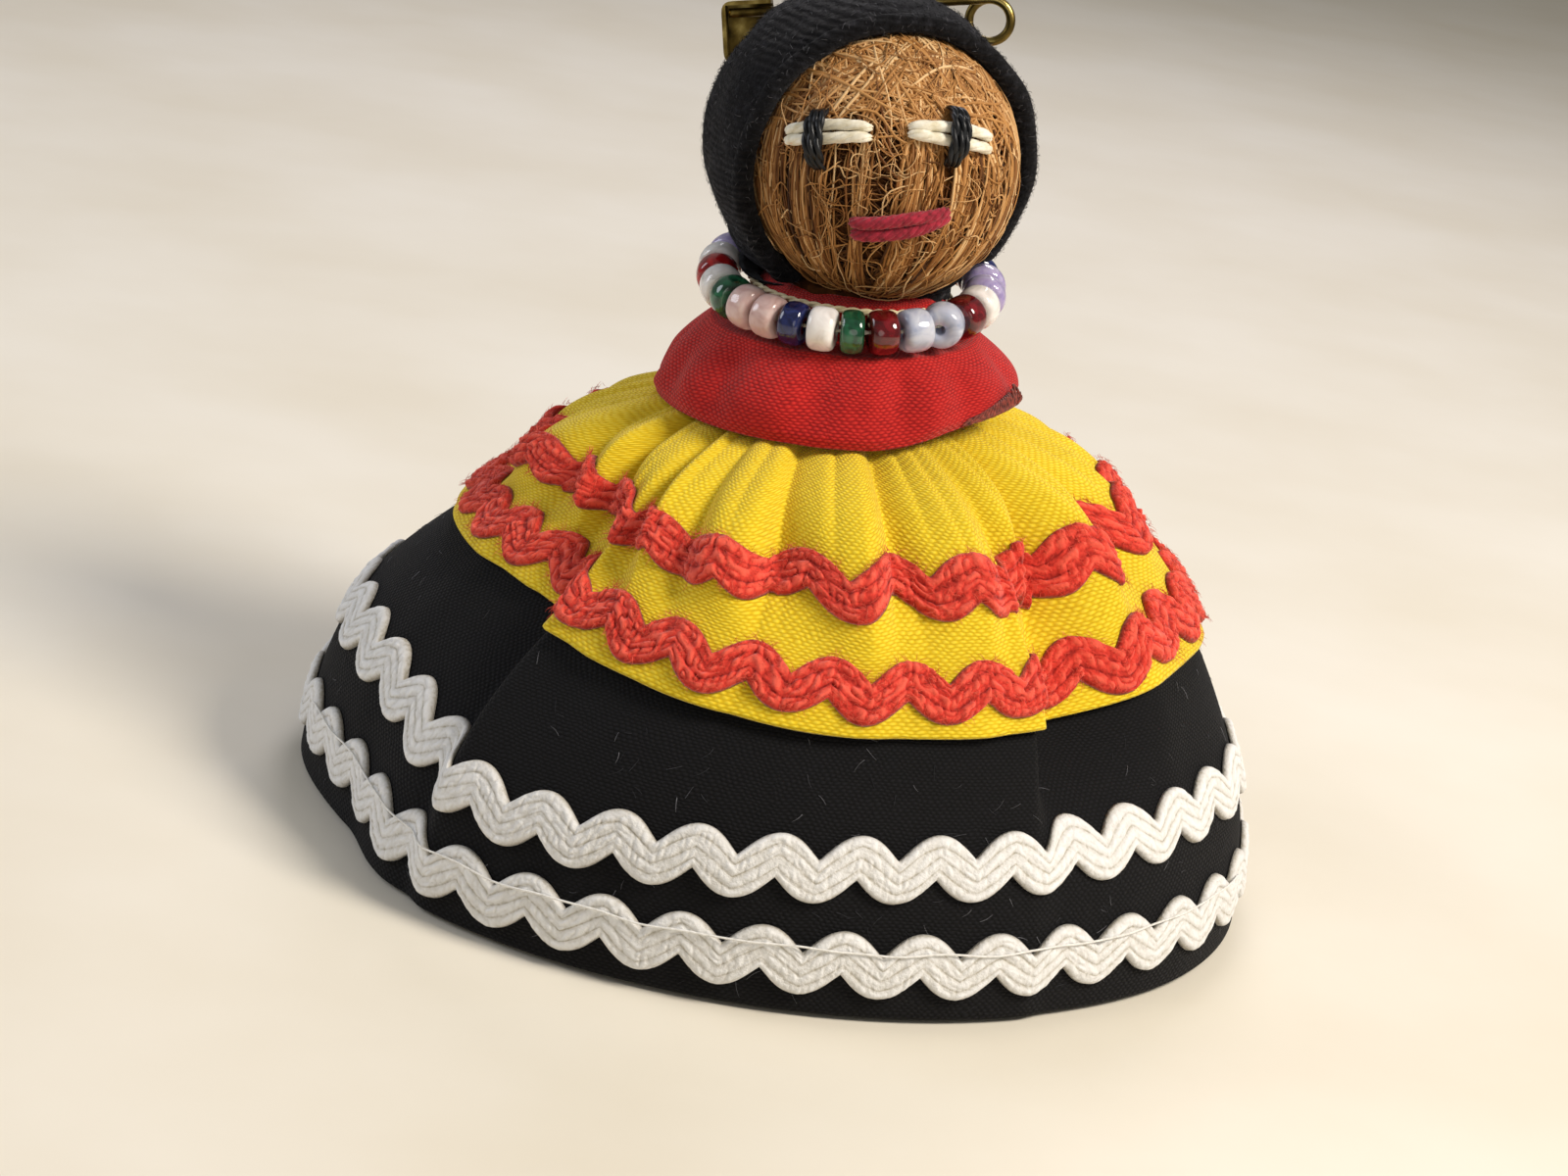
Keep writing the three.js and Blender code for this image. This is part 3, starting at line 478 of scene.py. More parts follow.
print("cape hem from", round(float(cape_hem(around(360)).min()), 1), "to", CAPE_HEM_HEIGHT, "mm")

# %% Gathers of the cape
# Each valley between two gathers: azimuth at the seam and lower down, depth, and width to the left and right
VALLEY_DEPTH = 1.7
LEAST_STAND = 1.3
VALLEYS = [
    (-74, -62, 2.2, 3, 7),
    (-56, -52, 2.6, 2.4, 6),
    (-38, -36, 2.6, 6, 2.6),
    (-25, -24, 1.9, 6, 2.6),
    (-9, -9, 2.8, 2.2, 8),
    (15, 14, 3.2, 2.6, 7),
    (38, 30, 1.9, 2.4, 5),
    (54, 41, 2.5, 2.4, 6),
    (74, 64, 3.2, 3, 9),
]
VALLEYS += [(angle, angle, 2.5, 2.8, 6) for angle in (93, 109, 124, 141, 157, 172)]
VALLEYS += [(angle, angle, 2.5, 6, 2.8) for angle in (-172, -155, -140, -123, -107, -91)]
# Narrow tucks between the valleys, right under the collar
TUCKS = (-66, -47, -31, -17, 3, 23, 29, 46, 63, 84, 101, 117, 133, 149, 165, -164, -148, -131, -115, -99, -83)
TUCK_DEPTH = 1.1
TUCK_STEEP = 1.3
TUCK_EASY = 2.6
TUCK_FADE = (0.55, 0.9)
CAPE_CRINKLE = 0.6
RIDGE_LIFT = 0.9
SKIRT_SLACK = 0.5
# The highest value of t**2 * (1 - t**4)
PUFF_PEAK = 0.385


def valley_depth(azimuth, z):
    """How far the valleys between the gathers lie in from the ridges."""
    t = np.clip(cape_rise(azimuth, z), 0, 1)
    deep = np.zeros(np.broadcast(azimuth, z).shape)
    for seam_angle, low_angle, depth, left, right in VALLEYS:
        off = degrees_from(blend_to(low_angle, seam_angle, t), azimuth)
        width = np.where(off < 0, left, right) * blend_to(1.4, 1.0, t)
        deep = np.maximum(deep, depth * np.exp(-(np.abs(off / width) ** 1.4)))
    near_seam = ease(t, 0.1, 0.62) * (1 - 0.5 * ease(t, 0.8, 1))
    return VALLEY_DEPTH * deep * blend_to(0.1, 1.0, near_seam)


def tuck_depth(azimuth, z):
    """Narrow tucks that the gathering thread leaves just under the collar, steep on one side."""
    t = np.clip(cape_rise(azimuth, z), 0, 1)
    deep = np.zeros(np.broadcast(azimuth, z).shape)
    for angle in TUCKS:
        off = degrees_from(angle, azimuth)
        width = np.where(off < 0, TUCK_STEEP, TUCK_EASY)
        deep = np.maximum(deep, np.exp(-(np.abs(off / width) ** 1.3)))
    return TUCK_DEPTH * deep * ease(t, *TUCK_FADE)


def cape_surface(azimuth, z):
    t = cape_rise(azimuth, z)
    puff = CAPE_PUFF * t**2 * (1 - t**4) / PUFF_PEAK
    crinkle = CAPE_CRINKLE * ripple(azimuth, z, 40, 4.5, 3) * ease(1 - t, 0.1, 0.5)
    crinkle = crinkle * blend_to(0.4, 1, ease(t, 0, 0.25))
    ridge_lift = RIDGE_LIFT * ease(t, 0.2, 0.6) * (1 - ease(t, 0.75, 0.95))
    stand = blend_to(CAPE_HEM_STAND, CAPE_SEAM_STAND, t) + puff + ridge_lift
    drawn_in = valley_depth(azimuth, z) + tuck_depth(azimuth, z)
    return skirt_radius(z) + np.maximum(stand - drawn_in, LEAST_STAND) + crinkle


def skirt_surface(azimuth, z):
    slack = SKIRT_SLACK * ripple(azimuth, z, 22, 9, 5) * ease(z, 3, 16) * (1 - ease(z, 20, 28))
    return skirt_radius(z) + slack + np.zeros(np.shape(azimuth))


print("valleys", len(VALLEYS))

# %% Folds, sway and shoulders
FOLD_WALL = 5
FOLD_SLOPE = 24
FOLD_DEEPEST = 24
FOLD_FADE = (32, 45)
DRAWN_ABOVE = (17, 27)
# Azimuth, depth at the hem and under the cape, the height above which it deepens, how far the cloth is
# drawn up in it, and degrees open to the left and right
FOLDS = [
    (-65, 3.4, 1.8, 0, 0.0, 36, 18),
    (-45.5, 1.0, 4.4, 0, 0.0, FOLD_SLOPE, FOLD_WALL),
    (40, 0.5, 4.8, 14, -2.4, FOLD_WALL, FOLD_SLOPE),
    (112, 1.8, 2.6, 0, 1.0, FOLD_WALL, FOLD_SLOPE),
    (152, 2.2, 2.8, 0, 1.0, FOLD_WALL, FOLD_SLOPE),
    (-150, 2.2, 2.8, 0, 1.0, FOLD_SLOPE, FOLD_WALL),
    (-112, 1.8, 2.6, 0, 1.0, FOLD_SLOPE, FOLD_WALL),
]
SWAY = 2.2
SWAY_HEIGHT = 30
SWAY_REACH = 9
SHOULDER_LOW = 26
SHOULDER_TILT = math.tan(math.radians(4))


def hang(azimuth, radius, z):
    """The point of the hanging clothes at an azimuth from the front, a radius and a height."""
    wider = HEM_WIDER * np.maximum(0, 1 - z / SEAM_HEIGHT)
    reach = radius * (1 - wider * np.cos(2 * azimuth))
    sway = SWAY * np.exp(-(((z - SWAY_HEIGHT) / SWAY_REACH) ** 2))
    tilt = SHOULDER_TILT * ease(z, SHOULDER_LOW, SEAM_HEIGHT)
    x = reach * np.sin(azimuth)
    y = -reach * np.cos(azimuth)
    x, y, z, sway, tilt = np.broadcast_arrays(x, y, z, sway, tilt)
    return np.stack([x + sway, y, z + tilt * x], axis=-1)


def folds_at(azimuth, z):
    """How far inward the folds lay the cloth at a place, and how far they draw it up."""
    fade = 1 - ease(z, *FOLD_FADE)
    inward = 0
    drawn = 0
    for angle, at_hem, under_cape, deepens, drawn_up, left, right in FOLDS:
        off = degrees_from(angle, azimuth)
        share = ease(1 - np.where(off > 0, off / right, -off / left), 0, 1)
        inward = inward + share * fade * blend_to(at_hem, under_cape, ease(z, deepens, FOLD_DEEPEST))
        drawn = drawn + share * fade * drawn_up * ease(z, *DRAWN_ABOVE)
    return inward, drawn


def settle(azimuth, radius, z):
    """Moves a point of the clothes from the plain bell to where the folded cloth lies."""
    inward, drawn = folds_at(azimuth, z)
    return hang(azimuth, radius - inward, z + drawn)


def lifted(surface, azimuth, z, lift):
    """A point lifted off a surface of the clothes along the normal of its profile."""
    step = 0.05
    slope = (surface(azimuth, z + step) - surface(azimuth, z - step)) / (2 * step)
    length = np.hypot(1, slope)
    return settle(azimuth, surface(azimuth, z) + lift / length, z - lift * slope / length)


print("folds", len(FOLDS))

# %% [markdown]
# ## Skirt and cape
# Both are single layers of cotton, so each is a closed skin: an outer face, an inner face half a
# millimetre in, and a rounded edge between them. A plane with a Solidify modifier would do the same,
# but here the inner face follows the folds exactly, and the UV map keeps the thread spacing true.

# %% Skirt and cape
CLOTH_THICK = 0.5


def layer(name, profile, steps, radius, look, **where):
    """A closed layer of cloth round the doll from the points of its outer and inner face, row by row."""
    points = profile(around(steps)[None, :])
    run = run_along(points[:, 0])
    along = np.append(run, run[-1] + CLOTH_THICK)
    across = np.append(around(steps), 2 * np.pi) * radius
    return skin(name, points, look, uv=(across, along), wrap_rows=True, **where)


def cloth_faces(surface, low, high, rows):
    """A profile for a layer between two heights, with rounded edges below and above."""

    def profile(azimuth):
        z = blend_to(low(azimuth), high(azimuth), np.linspace(0, 1, rows)[:, None])
        outer = settle(azimuth, surface(azimuth, z), z)
        inner = settle(azimuth, surface(azimuth, z) - CLOTH_THICK, z)
        middle = (outer + inner) / 2
        lip = np.array([0, 0, CLOTH_THICK / 2])
        return np.concatenate([middle[:1] - lip, outer, middle[-1:] + lip, inner[::-1]])

    return profile


def skirt_hem(azimuth):
    return np.full_like(azimuth, HEM_LIFT + CLOTH_THICK / 2)


def seam(azimuth):
    return np.full_like(azimuth, SEAM_HEIGHT)


def half_area(made):
    """Square metres of one face of a closed layer."""
    return sum(p.area for p in made.data.polygons) / 2


skirt_profile = cloth_faces(skirt_surface, skirt_hem, seam, rows=80)
where = {"slot": "black_cotton", "replaces": ["skirt"]}
skirt = layer("skirt_cloth", skirt_profile, steps=640, radius=42, look=black_cotton, **where)
cape_profile = cloth_faces(cape_surface, cape_hem, seam, rows=64)
where = {"slot": "yellow_cotton", "replaces": ["cape"]}
cape = layer("cape_cloth", cape_profile, steps=900, radius=30, look=yellow_cotton, **where)
print("skirt", round(half_area(skirt) * 1e4, 1), "cm2, cape", round(half_area(cape) * 1e4, 1), "cm2")

# %% [markdown]
# ## Collar
# A band of red cotton covers the seam, leans in over the shoulders, and under the beads it is drawn in
# to stand up round the neck, where a thread ties it. It is one more layer, with soft upright dents, and
# the part at the neck is crimped by the tie.

# %% Collar
COLLAR_DROP = 1.2
COLLAR_HEIGHT = 7.5
COLLAR_LOW_RADIUS = 17.1
COLLAR_TOP_RADIUS = 12.7
COLLAR_BULGE = 0.9
COLLAR_RISE = 2.4
COLLAR_DENT = 1.3
COLLAR_DENT_WIDTH = 7
COLLAR_DENTS = (-66, -41, -7, 24, 49, 80, 112, 145, 175, -150, -120, -92)
COLLAR_CRIMP = 0.14
COLLAR_CRIMPS = 30
NECK_RADIUS = 8
NECK_TOP = 55.9
collar_bottom = SEAM_HEIGHT - COLLAR_DROP
collar_top = collar_bottom + COLLAR_HEIGHT
collar_neck = NECK_RADIUS + 1.1


def collar_low(azimuth):
    """The height of the collar's lower edge, which rides up over the shoulder on the right."""
    return collar_bottom + COLLAR_RISE * ease(np.sin(azimuth), 0.2, 1)


def collar_radius(azimuth, z):
    low = collar_low(azimuth)
    t = np.clip((z - low) / (collar_top - low), 0, 1)
    uneven = 0.75 + 0.25 * ripple(azimuth, 0 * z, 12, 3, 12)
    dents = sum(np.exp(-((degrees_from(angle, azimuth) / COLLAR_DENT_WIDTH) ** 2)) for angle in COLLAR_DENTS)
    dent = COLLAR_DENT * uneven * np.sin(np.pi * t) * (dents - 0.4)
    crease = 0.3 * ripple(azimuth, z, 26, 2.6, 11) * (0.4 + 0.6 * np.sin(np.pi * t))
    curl = 0.4 * ease(0.14 - t, 0, 0.14)
    lean = blend_to(COLLAR_LOW_RADIUS, COLLAR_TOP_RADIUS, t)
    return lean + COLLAR_BULGE * np.sin(np.pi * t) - dent + crease - curl


def collar_profile(azimuth):
    z_band = blend_to(collar_low(azimuth), collar_top, np.linspace(0, 1, 30)[:, None])
    band = settle(azimuth, collar_radius(azimuth, z_band), z_band)
    crimp = COLLAR_CRIMP * np.cos(COLLAR_CRIMPS * azimuth + 2 * np.sin(3 * azimuth))
    u = np.linspace(0, 1, 12)[:, None]
    shoulder = blend_to(COLLAR_TOP_RADIUS, collar_neck, ease(u, 0, 0.8)) + crimp * ease(u, 0.2, 0.9)
    yoke = settle(azimuth, shoulder, collar_top + 0.1 + 0.7 * u**2)
    v = np.linspace(0.1, 1, 12)[:, None]
    tucked = ease(v, 0.75, 1)
    waist = -1.9 * tucked - 0.2 * np.sin(np.pi * v)
    frill_radius = collar_neck + crimp * (1 - tucked) + waist
    frill = settle(azimuth, frill_radius, blend_to(collar_top + 0.8, NECK_TOP, v))
    outer = np.concatenate([band, yoke[1:], frill])
    drop = np.array([0, 0, -CLOTH_THICK]) * ease(np.arange(len(outer)), 28, 32)[:, None, None]
    drop = drop * (1 - ease(np.arange(len(outer)), 38, 42)[:, None, None])
    inner = outer - CLOTH_THICK * direction(azimuth) + drop
    return np.concatenate([outer, inner[::-1]])


where = {"slot": "red_cotton", "replaces": ["collar"]}
collar = layer("collar_cloth", collar_profile, steps=400, radius=15, look=red_cotton, **where)
print("collar", round(half_area(collar) * 1e4, 1), "cm2")

# %% [markdown]
# ## Threads
# The tie at the neck, the eyes and the sewing threads are spun cotton and the mouth is wool: fine plies
# twisted round each other. Each ply is a strand of its own, so the twist shows as geometry. Their
# material only needs a soft colour with a little variation, because the shape does the rest.

# %% Spun thread


def mottle(tree, spacing, stops, **more):
    """Blotches of a spacing in mm in the object's own space: their value, and the colours along it."""
    place = node(tree, "TexCoord", give="Object")
    value = node(tree, "TexNoise", {"Vector": place, "Scale": PER_METRE / spacing, **more})
    return value, node(tree, "ValToRGB", {0: value}, stops=stops)


def spun(name, dark, light, roughness, sheen, grain):
    """Spun cotton or wool: fine fibres along the ply leave small light and dark flecks, grain mm apart."""
    look, tree = blank(name)
    fleck, tint = mottle(tree, grain, [(0.3, dark), (0.65, light)], Detail=4.0)
    soft = {"Roughness": roughness, "Sheen_Weight": sheen, "Specular_IOR_Level": 0.3}
    dress(tree, tint, (fleck, 0.5, 0.1), **soft)
    return look


cream_thread = spun("cream cotton thread", "#c9b98c", "#ece0bd", 0.8, 0.2, 0.7)
white_thread = spun("white cotton floss", "#cfc5a8", "#f0ebdc", 0.7, 0.2, 0.9)
black_thread = spun("black waxed floss", "#07080a", "#191b1f", 0.38, 0.0, 0.6)
crimson_thread = spun("crimson wool floss", "#6e0e1e", "#a8243a", 0.85, 0.2, 0.5)
seam_thread = spun("brown red sewing thread", "#3a0f08", "#8f3a2a", 0.7, 0.2, 0.4)
sewing_thread = spun("white sewing thread", "#d6d4ce", "#f0efec", 0.6, 0.1, 0.4)
print("materials so far", len(bpy.data.materials))

# %% Tie at the neck
BINDING_RADIUS = 0.3
BINDING_PITCH = 1.4
BINDING_START = math.radians(-110)
binding_turns = np.linspace(0, 1.5, 300)
binding_height = NECK_TOP - 0.5 - BINDING_PITCH * binding_turns
binding_azimuth = BINDING_START + 2 * np.pi * binding_turns
binding_path = hang(binding_azimuth, collar_neck + BINDING_RADIUS, binding_height)
binding_plies = plies(binding_path, UP, count=2, reach=BINDING_RADIUS / 2, pitch=2.4)
ply_radius = BINDING_RADIUS * 0.56
where = {"slot": "cream_thread", "replaces": ["neck_binding"]}
binding = strands("neck_tie", binding_plies, ply_radius, UP, cream_thread, sides=8, **where)
print("tie", len(binding.data.vertices), "points")

# %% Loose sewing threads along the collar's lower edge
THREADS = 9
BUNDLE_FROM = math.radians(45)
BUNDLE_TO = math.radians(80)
BUNDLE_THICK = 1.35
BUNDLE_TWIST = 3
BUNDLE_STAGGER = math.radians(9)
THREAD_RADIUS = 0.14
thread = np.arange(THREADS)[:, None]
thread_share = (0.618 * thread) % 1
thread_along = np.linspace(0, 1, 70)[None, :]
thread_start = BUNDLE_FROM + BUNDLE_STAGGER * thread_share
thread_end = BUNDLE_TO - BUNDLE_STAGGER * ((0.382 * thread + 0.5) % 1)
bundle_azimuth = blend_to(thread_start, thread_end, thread_along)
bundle_share = (bundle_azimuth - BUNDLE_FROM) / (BUNDLE_TO - BUNDLE_FROM)
bundle_thick = BUNDLE_THICK * blend_to(0.25, 1, ease(bundle_share, 0, 0.7))
bundle_turn = 2 * np.pi * (BUNDLE_TWIST * bundle_share + thread / THREADS)
fray = ease(thread_along, 0.78, 1)
bundle_z = collar_low(bundle_azimuth) + 0.2 + bundle_thick * (0.5 + 0.5 * np.sin(bundle_turn))
bundle_z = bundle_z + 1.2 * fray * (thread_share - 0.3)
bundle_out = 0.15 + 0.28 * bundle_thick * (1 + np.cos(bundle_turn)) + 0.6 * fray * thread_share
bundle_paths = settle(bundle_azimuth, collar_radius(bundle_azimuth, bundle_z) + bundle_out, bundle_z)
thread_radii = THREAD_RADIUS * (1 - 0.6 * ease(np.abs(2 * thread_along - 1), 0.8, 1))
bundle = strands("collar_sewing", bundle_paths, thread_radii, UP, seam_thread, sides=5, slot="red_cotton")
print("sewing threads", THREADS)

# %% [markdown]
# ## Rickrack
# Rickrack is a flat braid pulled into even waves. Its outer edge is round at every peak and sharp in
# every notch, because the braid keeps its width: the edge is the highest reach of a disc that follows
# the wave. The yarns of the braid run along the wave as raised lines, smooth in the white braid and
# grainy in the coral one, and each point carries how high it stands on its yarn. From this the
# material paints shade in the gaps between the yarns and the grains and near the rolled edges, and a
# painted highlight on the crowns.

# %% Rickrack bands
BRAID_WIDTH = 3.8
BRAID_SWING = 1.15
BRAID_THICK = 0.7
BRAID_STAND = 0.12
WAVE_LENGTH = 7.4
WAVE_STEPS = 52
# Rows on the skirt: height, rise towards +X, and how far they climb on the flat panel at the side
SKIRT_ROWS = {"lower": (5.2, 1.0, 2.4), "upper": (13.2, 2.6, 6.0)}
PANEL_FROM = -150
PANEL_TO = -26
PANEL_CLIMB = 52
PANEL_BLEND = 50
CAPE_ROWS = {"lower": 0.155, "upper": 0.51}
# Rows of the band's grid that its flat back shares
BACK_ROWS = [42, 30, 14, 2]


def on_side_panel(azimuth):
    """From 0 on the rest of the skirt to 1 on its flat side panel."""
    from_edge = -degrees_from(PANEL_TO, azimuth)
    from_end = degrees_from(PANEL_FROM, azimuth)
    return ease(from_edge, 0, PANEL_CLIMB) * ease(from_end, 0, PANEL_BLEND)


def skirt_row(row):
    height, tilt, step = SKIRT_ROWS[row]
    return lambda azimuth: height + tilt * np.sin(azimuth) + step * on_side_panel(azimuth)


def cape_row(share):
    return lambda azimuth: blend_to(cape_hem(azimuth), SEAM_HEIGHT, share)


def braid_edge(phase):
    half = BRAID_WIDTH / 2
    off = np.linspace(-half, half, 41)[:, None]
    swing = BRAID_SWING * np.sin(2 * np.pi * (phase[None, :] + off / WAVE_LENGTH))
    return np.max(swing + np.sqrt(np.maximum(0, half**2 - off**2)), axis=0)


def waves_round(surface, height_at):
    front = np.zeros(1)
    return round(2 * np.pi * float(surface(front, height_at(front))[0]) / WAVE_LENGTH)


def braid_span(surface, height_at, azimuth, shift=0):
    """The heights of the lower and the upper edge of a row of rickrack."""
    phase = waves_round(surface, height_at) * azimuth / (2 * np.pi) + shift
    middle = height_at(azimuth)
    upright = 1 / np.hypot(1, surface(azimuth, middle + 0.5) - surface(azimuth, middle - 0.5))
    return middle - upright * braid_edge(phase + 0.5), middle + upright * braid_edge(phase)


def rickrack(name, surface, height_at, look, yarns, ridge, grain, fleck, shift=0, **where):
    """A closed band of braid round the doll, of yarns that stand up by ridge.

    Its face is uneven by grain, both in mm, and fleck is how much of its painted shade follows the grain,
    from 0 to 1.
    """
    waves = waves_round(surface, height_at)
    azimuth = around(waves * WAVE_STEPS)
    bottom, top = braid_span(surface, height_at, azimuth, shift)
    share = np.linspace(0, 1, 45)[:, None]
    z = blend_to(bottom[None, :], top[None, :], share)
    rounded = np.sqrt(np.maximum(0, 1 - np.abs(2 * share - 1) ** 8))
    wander = 0.03 * ripple(azimuth[None, :], BRAID_WIDTH * share, 4 * waves, 1.5, 13)
    line = np.sqrt(np.abs(np.sin(np.pi * yarns * (share + wander))))
    grains = np.abs(ripple(azimuth[None, :], BRAID_WIDTH * share, 13 * waves, 0.5, 14))
    rise = BRAID_THICK + ridge * (line - 1) + grain * (grains - 0.4)
    outer = lifted(surface, azimuth[None, :], z, BRAID_STAND + rounded * rise)
    back = z[BACK_ROWS]
    inner = lifted(surface, azimuth[None, :], back, BRAID_STAND)
    # Painted shade: each point's shade is low in the gaps between the yarns, in the hollows of the grain and
    # near the rolled edges; the hidden back gets 0.
    crown = line * blend_to(1, np.minimum(1, 0.1 + 1.7 * grains), fleck)
    shades = np.concatenate([crown * blend_to(0.5, 1, rounded), np.zeros_like(back)])
    return skin(name, np.concatenate([outer, inner]), look, wrap_rows=True, shades=shades, **where)


def braid_yarn(name, dark, colour, light, sheen, fibre):
    """Yarn of a braid: matt, with painted shade between the yarns and a painted highlight on them, and fine
    fibres fibre mm apart.
    """
    look, tree = blank(name)
    crown = node(tree, "Attribute", give="Fac", attribute_name="shade")
    place = node(tree, "TexCoord", give="Object")
    fibres = {"Vector": place, "Scale": PER_METRE / fibre, "Detail": 3.0}
    fluff = node(tree, "TexNoise", fibres)
    uneven = node(tree, "Math", {0: fluff, 1: 0.7, 2: -0.35}, operation="MULTIPLY_ADD")
    mixed = node(tree, "Math", {0: crown, 1: uneven}, operation="ADD")
    # dark is painted shade for the gaps, light a painted highlight on the crowns.
    stops = [(0.05, dark), (0.45, colour), (0.95, light)]
    tint = node(tree, "ValToRGB", {0: mixed}, stops=stops)
    dress(tree, tint, (fluff, 0.8, 0.15), Roughness=0.88, Sheen_Weight=sheen, Specular_IOR_Level=0.2)
    return look


coral_braid = braid_yarn("coral wool braid", "#8c160e", "#d43a2c", "#ea5c48", 0.25, 0.3)
white_braid = braid_yarn("white cotton braid", "#aaa393", "#d6d4d0", "#e8e8e8", 0.15, 0.3)
print("braid", BRAID_WIDTH, "mm wide")

# %% The four rows
WHITE_YARN = {"look": white_braid, "yarns": 4, "ridge": 0.1, "grain": 0.16, "fleck": 0.45}
CORAL_YARN = {"look": coral_braid, "yarns": 3, "ridge": 0.16, "grain": 0.42, "fleck": 0.8}
# Each cape row's waves are moved along by a share of a wave, so that no trough falls into the deep fold
CAPE_SHIFT = {"lower": 0, "upper": 0.4}
for row in SKIRT_ROWS:
    where = {"slot": "white_rickrack", "replaces": [f"skirt_rickrack_{row}"]}
    made = rickrack(f"skirt_braid_{row}", skirt_surface, skirt_row(row), **WHITE_YARN, **where)
for row, share in CAPE_ROWS.items():
    where = {"slot": "coral_rickrack", "replaces": [f"cape_rickrack_{row}"], "shift": CAPE_SHIFT[row]}
    made = rickrack(f"cape_braid_{row}", cape_surface, cape_row(share), **CORAL_YARN, **where)

# %% [markdown]
# ## Fluff and sewing on the braid
# The coral braid is fluffy, and a white thread bridges the notches of the skirt's lower row in front.
# Loose hairs could be a particle system, but a particle system is lost in an export, so each hair is a
# thin strand of its own.

# %% Fluff and sewing threads


def shaded(name, stops, roughness):
    """A material for many strands: each strand's own shade picks its colour."""
    look, tree = blank(name)
    own = node(tree, "Attribute", give="Fac", attribute_name="shade")
    tint = node(tree, "ValToRGB", {0: own}, stops=stops)
    dress(tree, tint, Roughness=roughness, Specular_IOR_Level=0.25)
    return look


coral_fluff = shaded("coral wool fluff", [(0.0, "#a82014"), (1.0, "#ec6e58")], 0.85)
FLUFF_PER_ROW = 6500
FLUFF = {"length": 0.7, "radius": 0.025, "look": coral_fluff, "seed": 22}
FLUFF_ROOT = 0.75
for row, share in CAPE_ROWS.items():
    chance = np.random.default_rng(21)
    azimuth = chance.uniform(0, 2 * np.pi, FLUFF_PER_ROW)
    bottom, top = braid_span(cape_surface, cape_row(share), azimuth, CAPE_SHIFT[row])
    z = blend_to(bottom, top, 0.5 - 0.49 * np.cos(np.pi * chance.uniform(0, 1, FLUFF_PER_ROW)))
    roots = lifted(cape_surface, azimuth, z, FLUFF_ROOT)
    normals = unit(lifted(cape_surface, azimuth, z, 2 * FLUFF_ROOT) - roots)
    shades = chance.uniform(0, 1, FLUFF_PER_ROW)
    made = fuzz(f"coral_fluff_{row}", roots, normals, shades=shades, slot="coral_rickrack", **FLUFF)

SEWING_FROM = math.radians(-80)
SEWING_TO = math.radians(75)
SEWING_ABOVE = 1.45
sewing_azimuth = np.linspace(SEWING_FROM, SEWING_TO, 500)
stray = 0.3 * ripple(sewing_azimuth, 0 * sewing_azimuth, 60, 3, 15)
sewing_z = skirt_row("lower")(sewing_azimuth) + SEWING_ABOVE + stray
sewing_lift = BRAID_STAND + BRAID_THICK + 0.15
sewing_path = lifted(skirt_surface, sewing_azimuth, sewing_z, sewing_lift)
outward = unit(sewing_path * np.array([1, 1, 0]))
where = {"sides": 6, "slot": "white_rickrack"}
sewing = strands("skirt_sewing", sewing_path[None], 0.1, outward[None], sewing_thread, **where)

# %% [markdown]
# ## Fibre head
# The head is a ball wound with dry fibre from a palm's husk: long strands run from crown to chin,
# others cross them over the forehead, and short curly ends stand out between. A texture would look
# printed, so about two and a half thousand thin strands are laid on the ball. Each has its own shade,
# from the dark of the husk to a bleached tan, and the lower a layer lies, the darker it is painted, as
# painted shade under the layers above.

# %% Palm fibre and the ball under it
HEAD_CENTRE = np.array([1.2, -2.5, 67.5])
HEAD_RADIUS = 12.2

# Stops: the darkest is painted shade, the colour of the gaps between strands; the lightest is the fibre's
# bleached tan and partly a painted highlight of strands in light.
fibre_stops = [(0.0, "#3a200c"), (0.35, "#7a4c22"), (0.7, "#b8854c"), (1.0, "#e2bd8a")]
palm_fibre = shaded("dry palm fibre", fibre_stops, 0.6)

# Husk: matted short fibre, dark brown, without gloss. It is painted darker where its bump is low, as painted
# shade in the hollows, and on the head its dark ground is also painted shade for the gaps between the
# strands.
husk, tree = blank("matted palm husk")
mat, tint = mottle(tree, 1.2, [(0.35, "#241205"), (0.6, "#4a290f"), (0.75, "#6e4219")], Detail=6.0)
dress(tree, tint, (mat, 0.8, 0.4), Roughness=0.95, Specular_IOR_Level=0.15)

ball_up = np.linspace(-np.pi / 2 + 0.01, np.pi / 2 - 0.01, 60)[:, None]
ball_turn = around(90)[None, :]
lump = 0.25 * ripple(ball_turn, 12 * ball_up, 24, 2.0, 31)
ball_radius = HEAD_RADIUS - 0.55 + lump
ball_points = HEAD_CENTRE + direction(ball_turn, ball_up) * ball_radius[..., None]
head = skin("head_ball", ball_points, husk, slot="palmetto_fiber", replaces=["head"])
print("head ball", len(head.data.vertices), "points")

# %% Strands of the head
FACE_ACROSS = math.radians(6)
FACE_UP = math.radians(8)
BUNCH_SPREAD = 1.6
face_front = direction(FACE_ACROSS, FACE_UP)
face_right = unit(np.cross(face_front, UP))
face_above = np.cross(face_right, face_front)


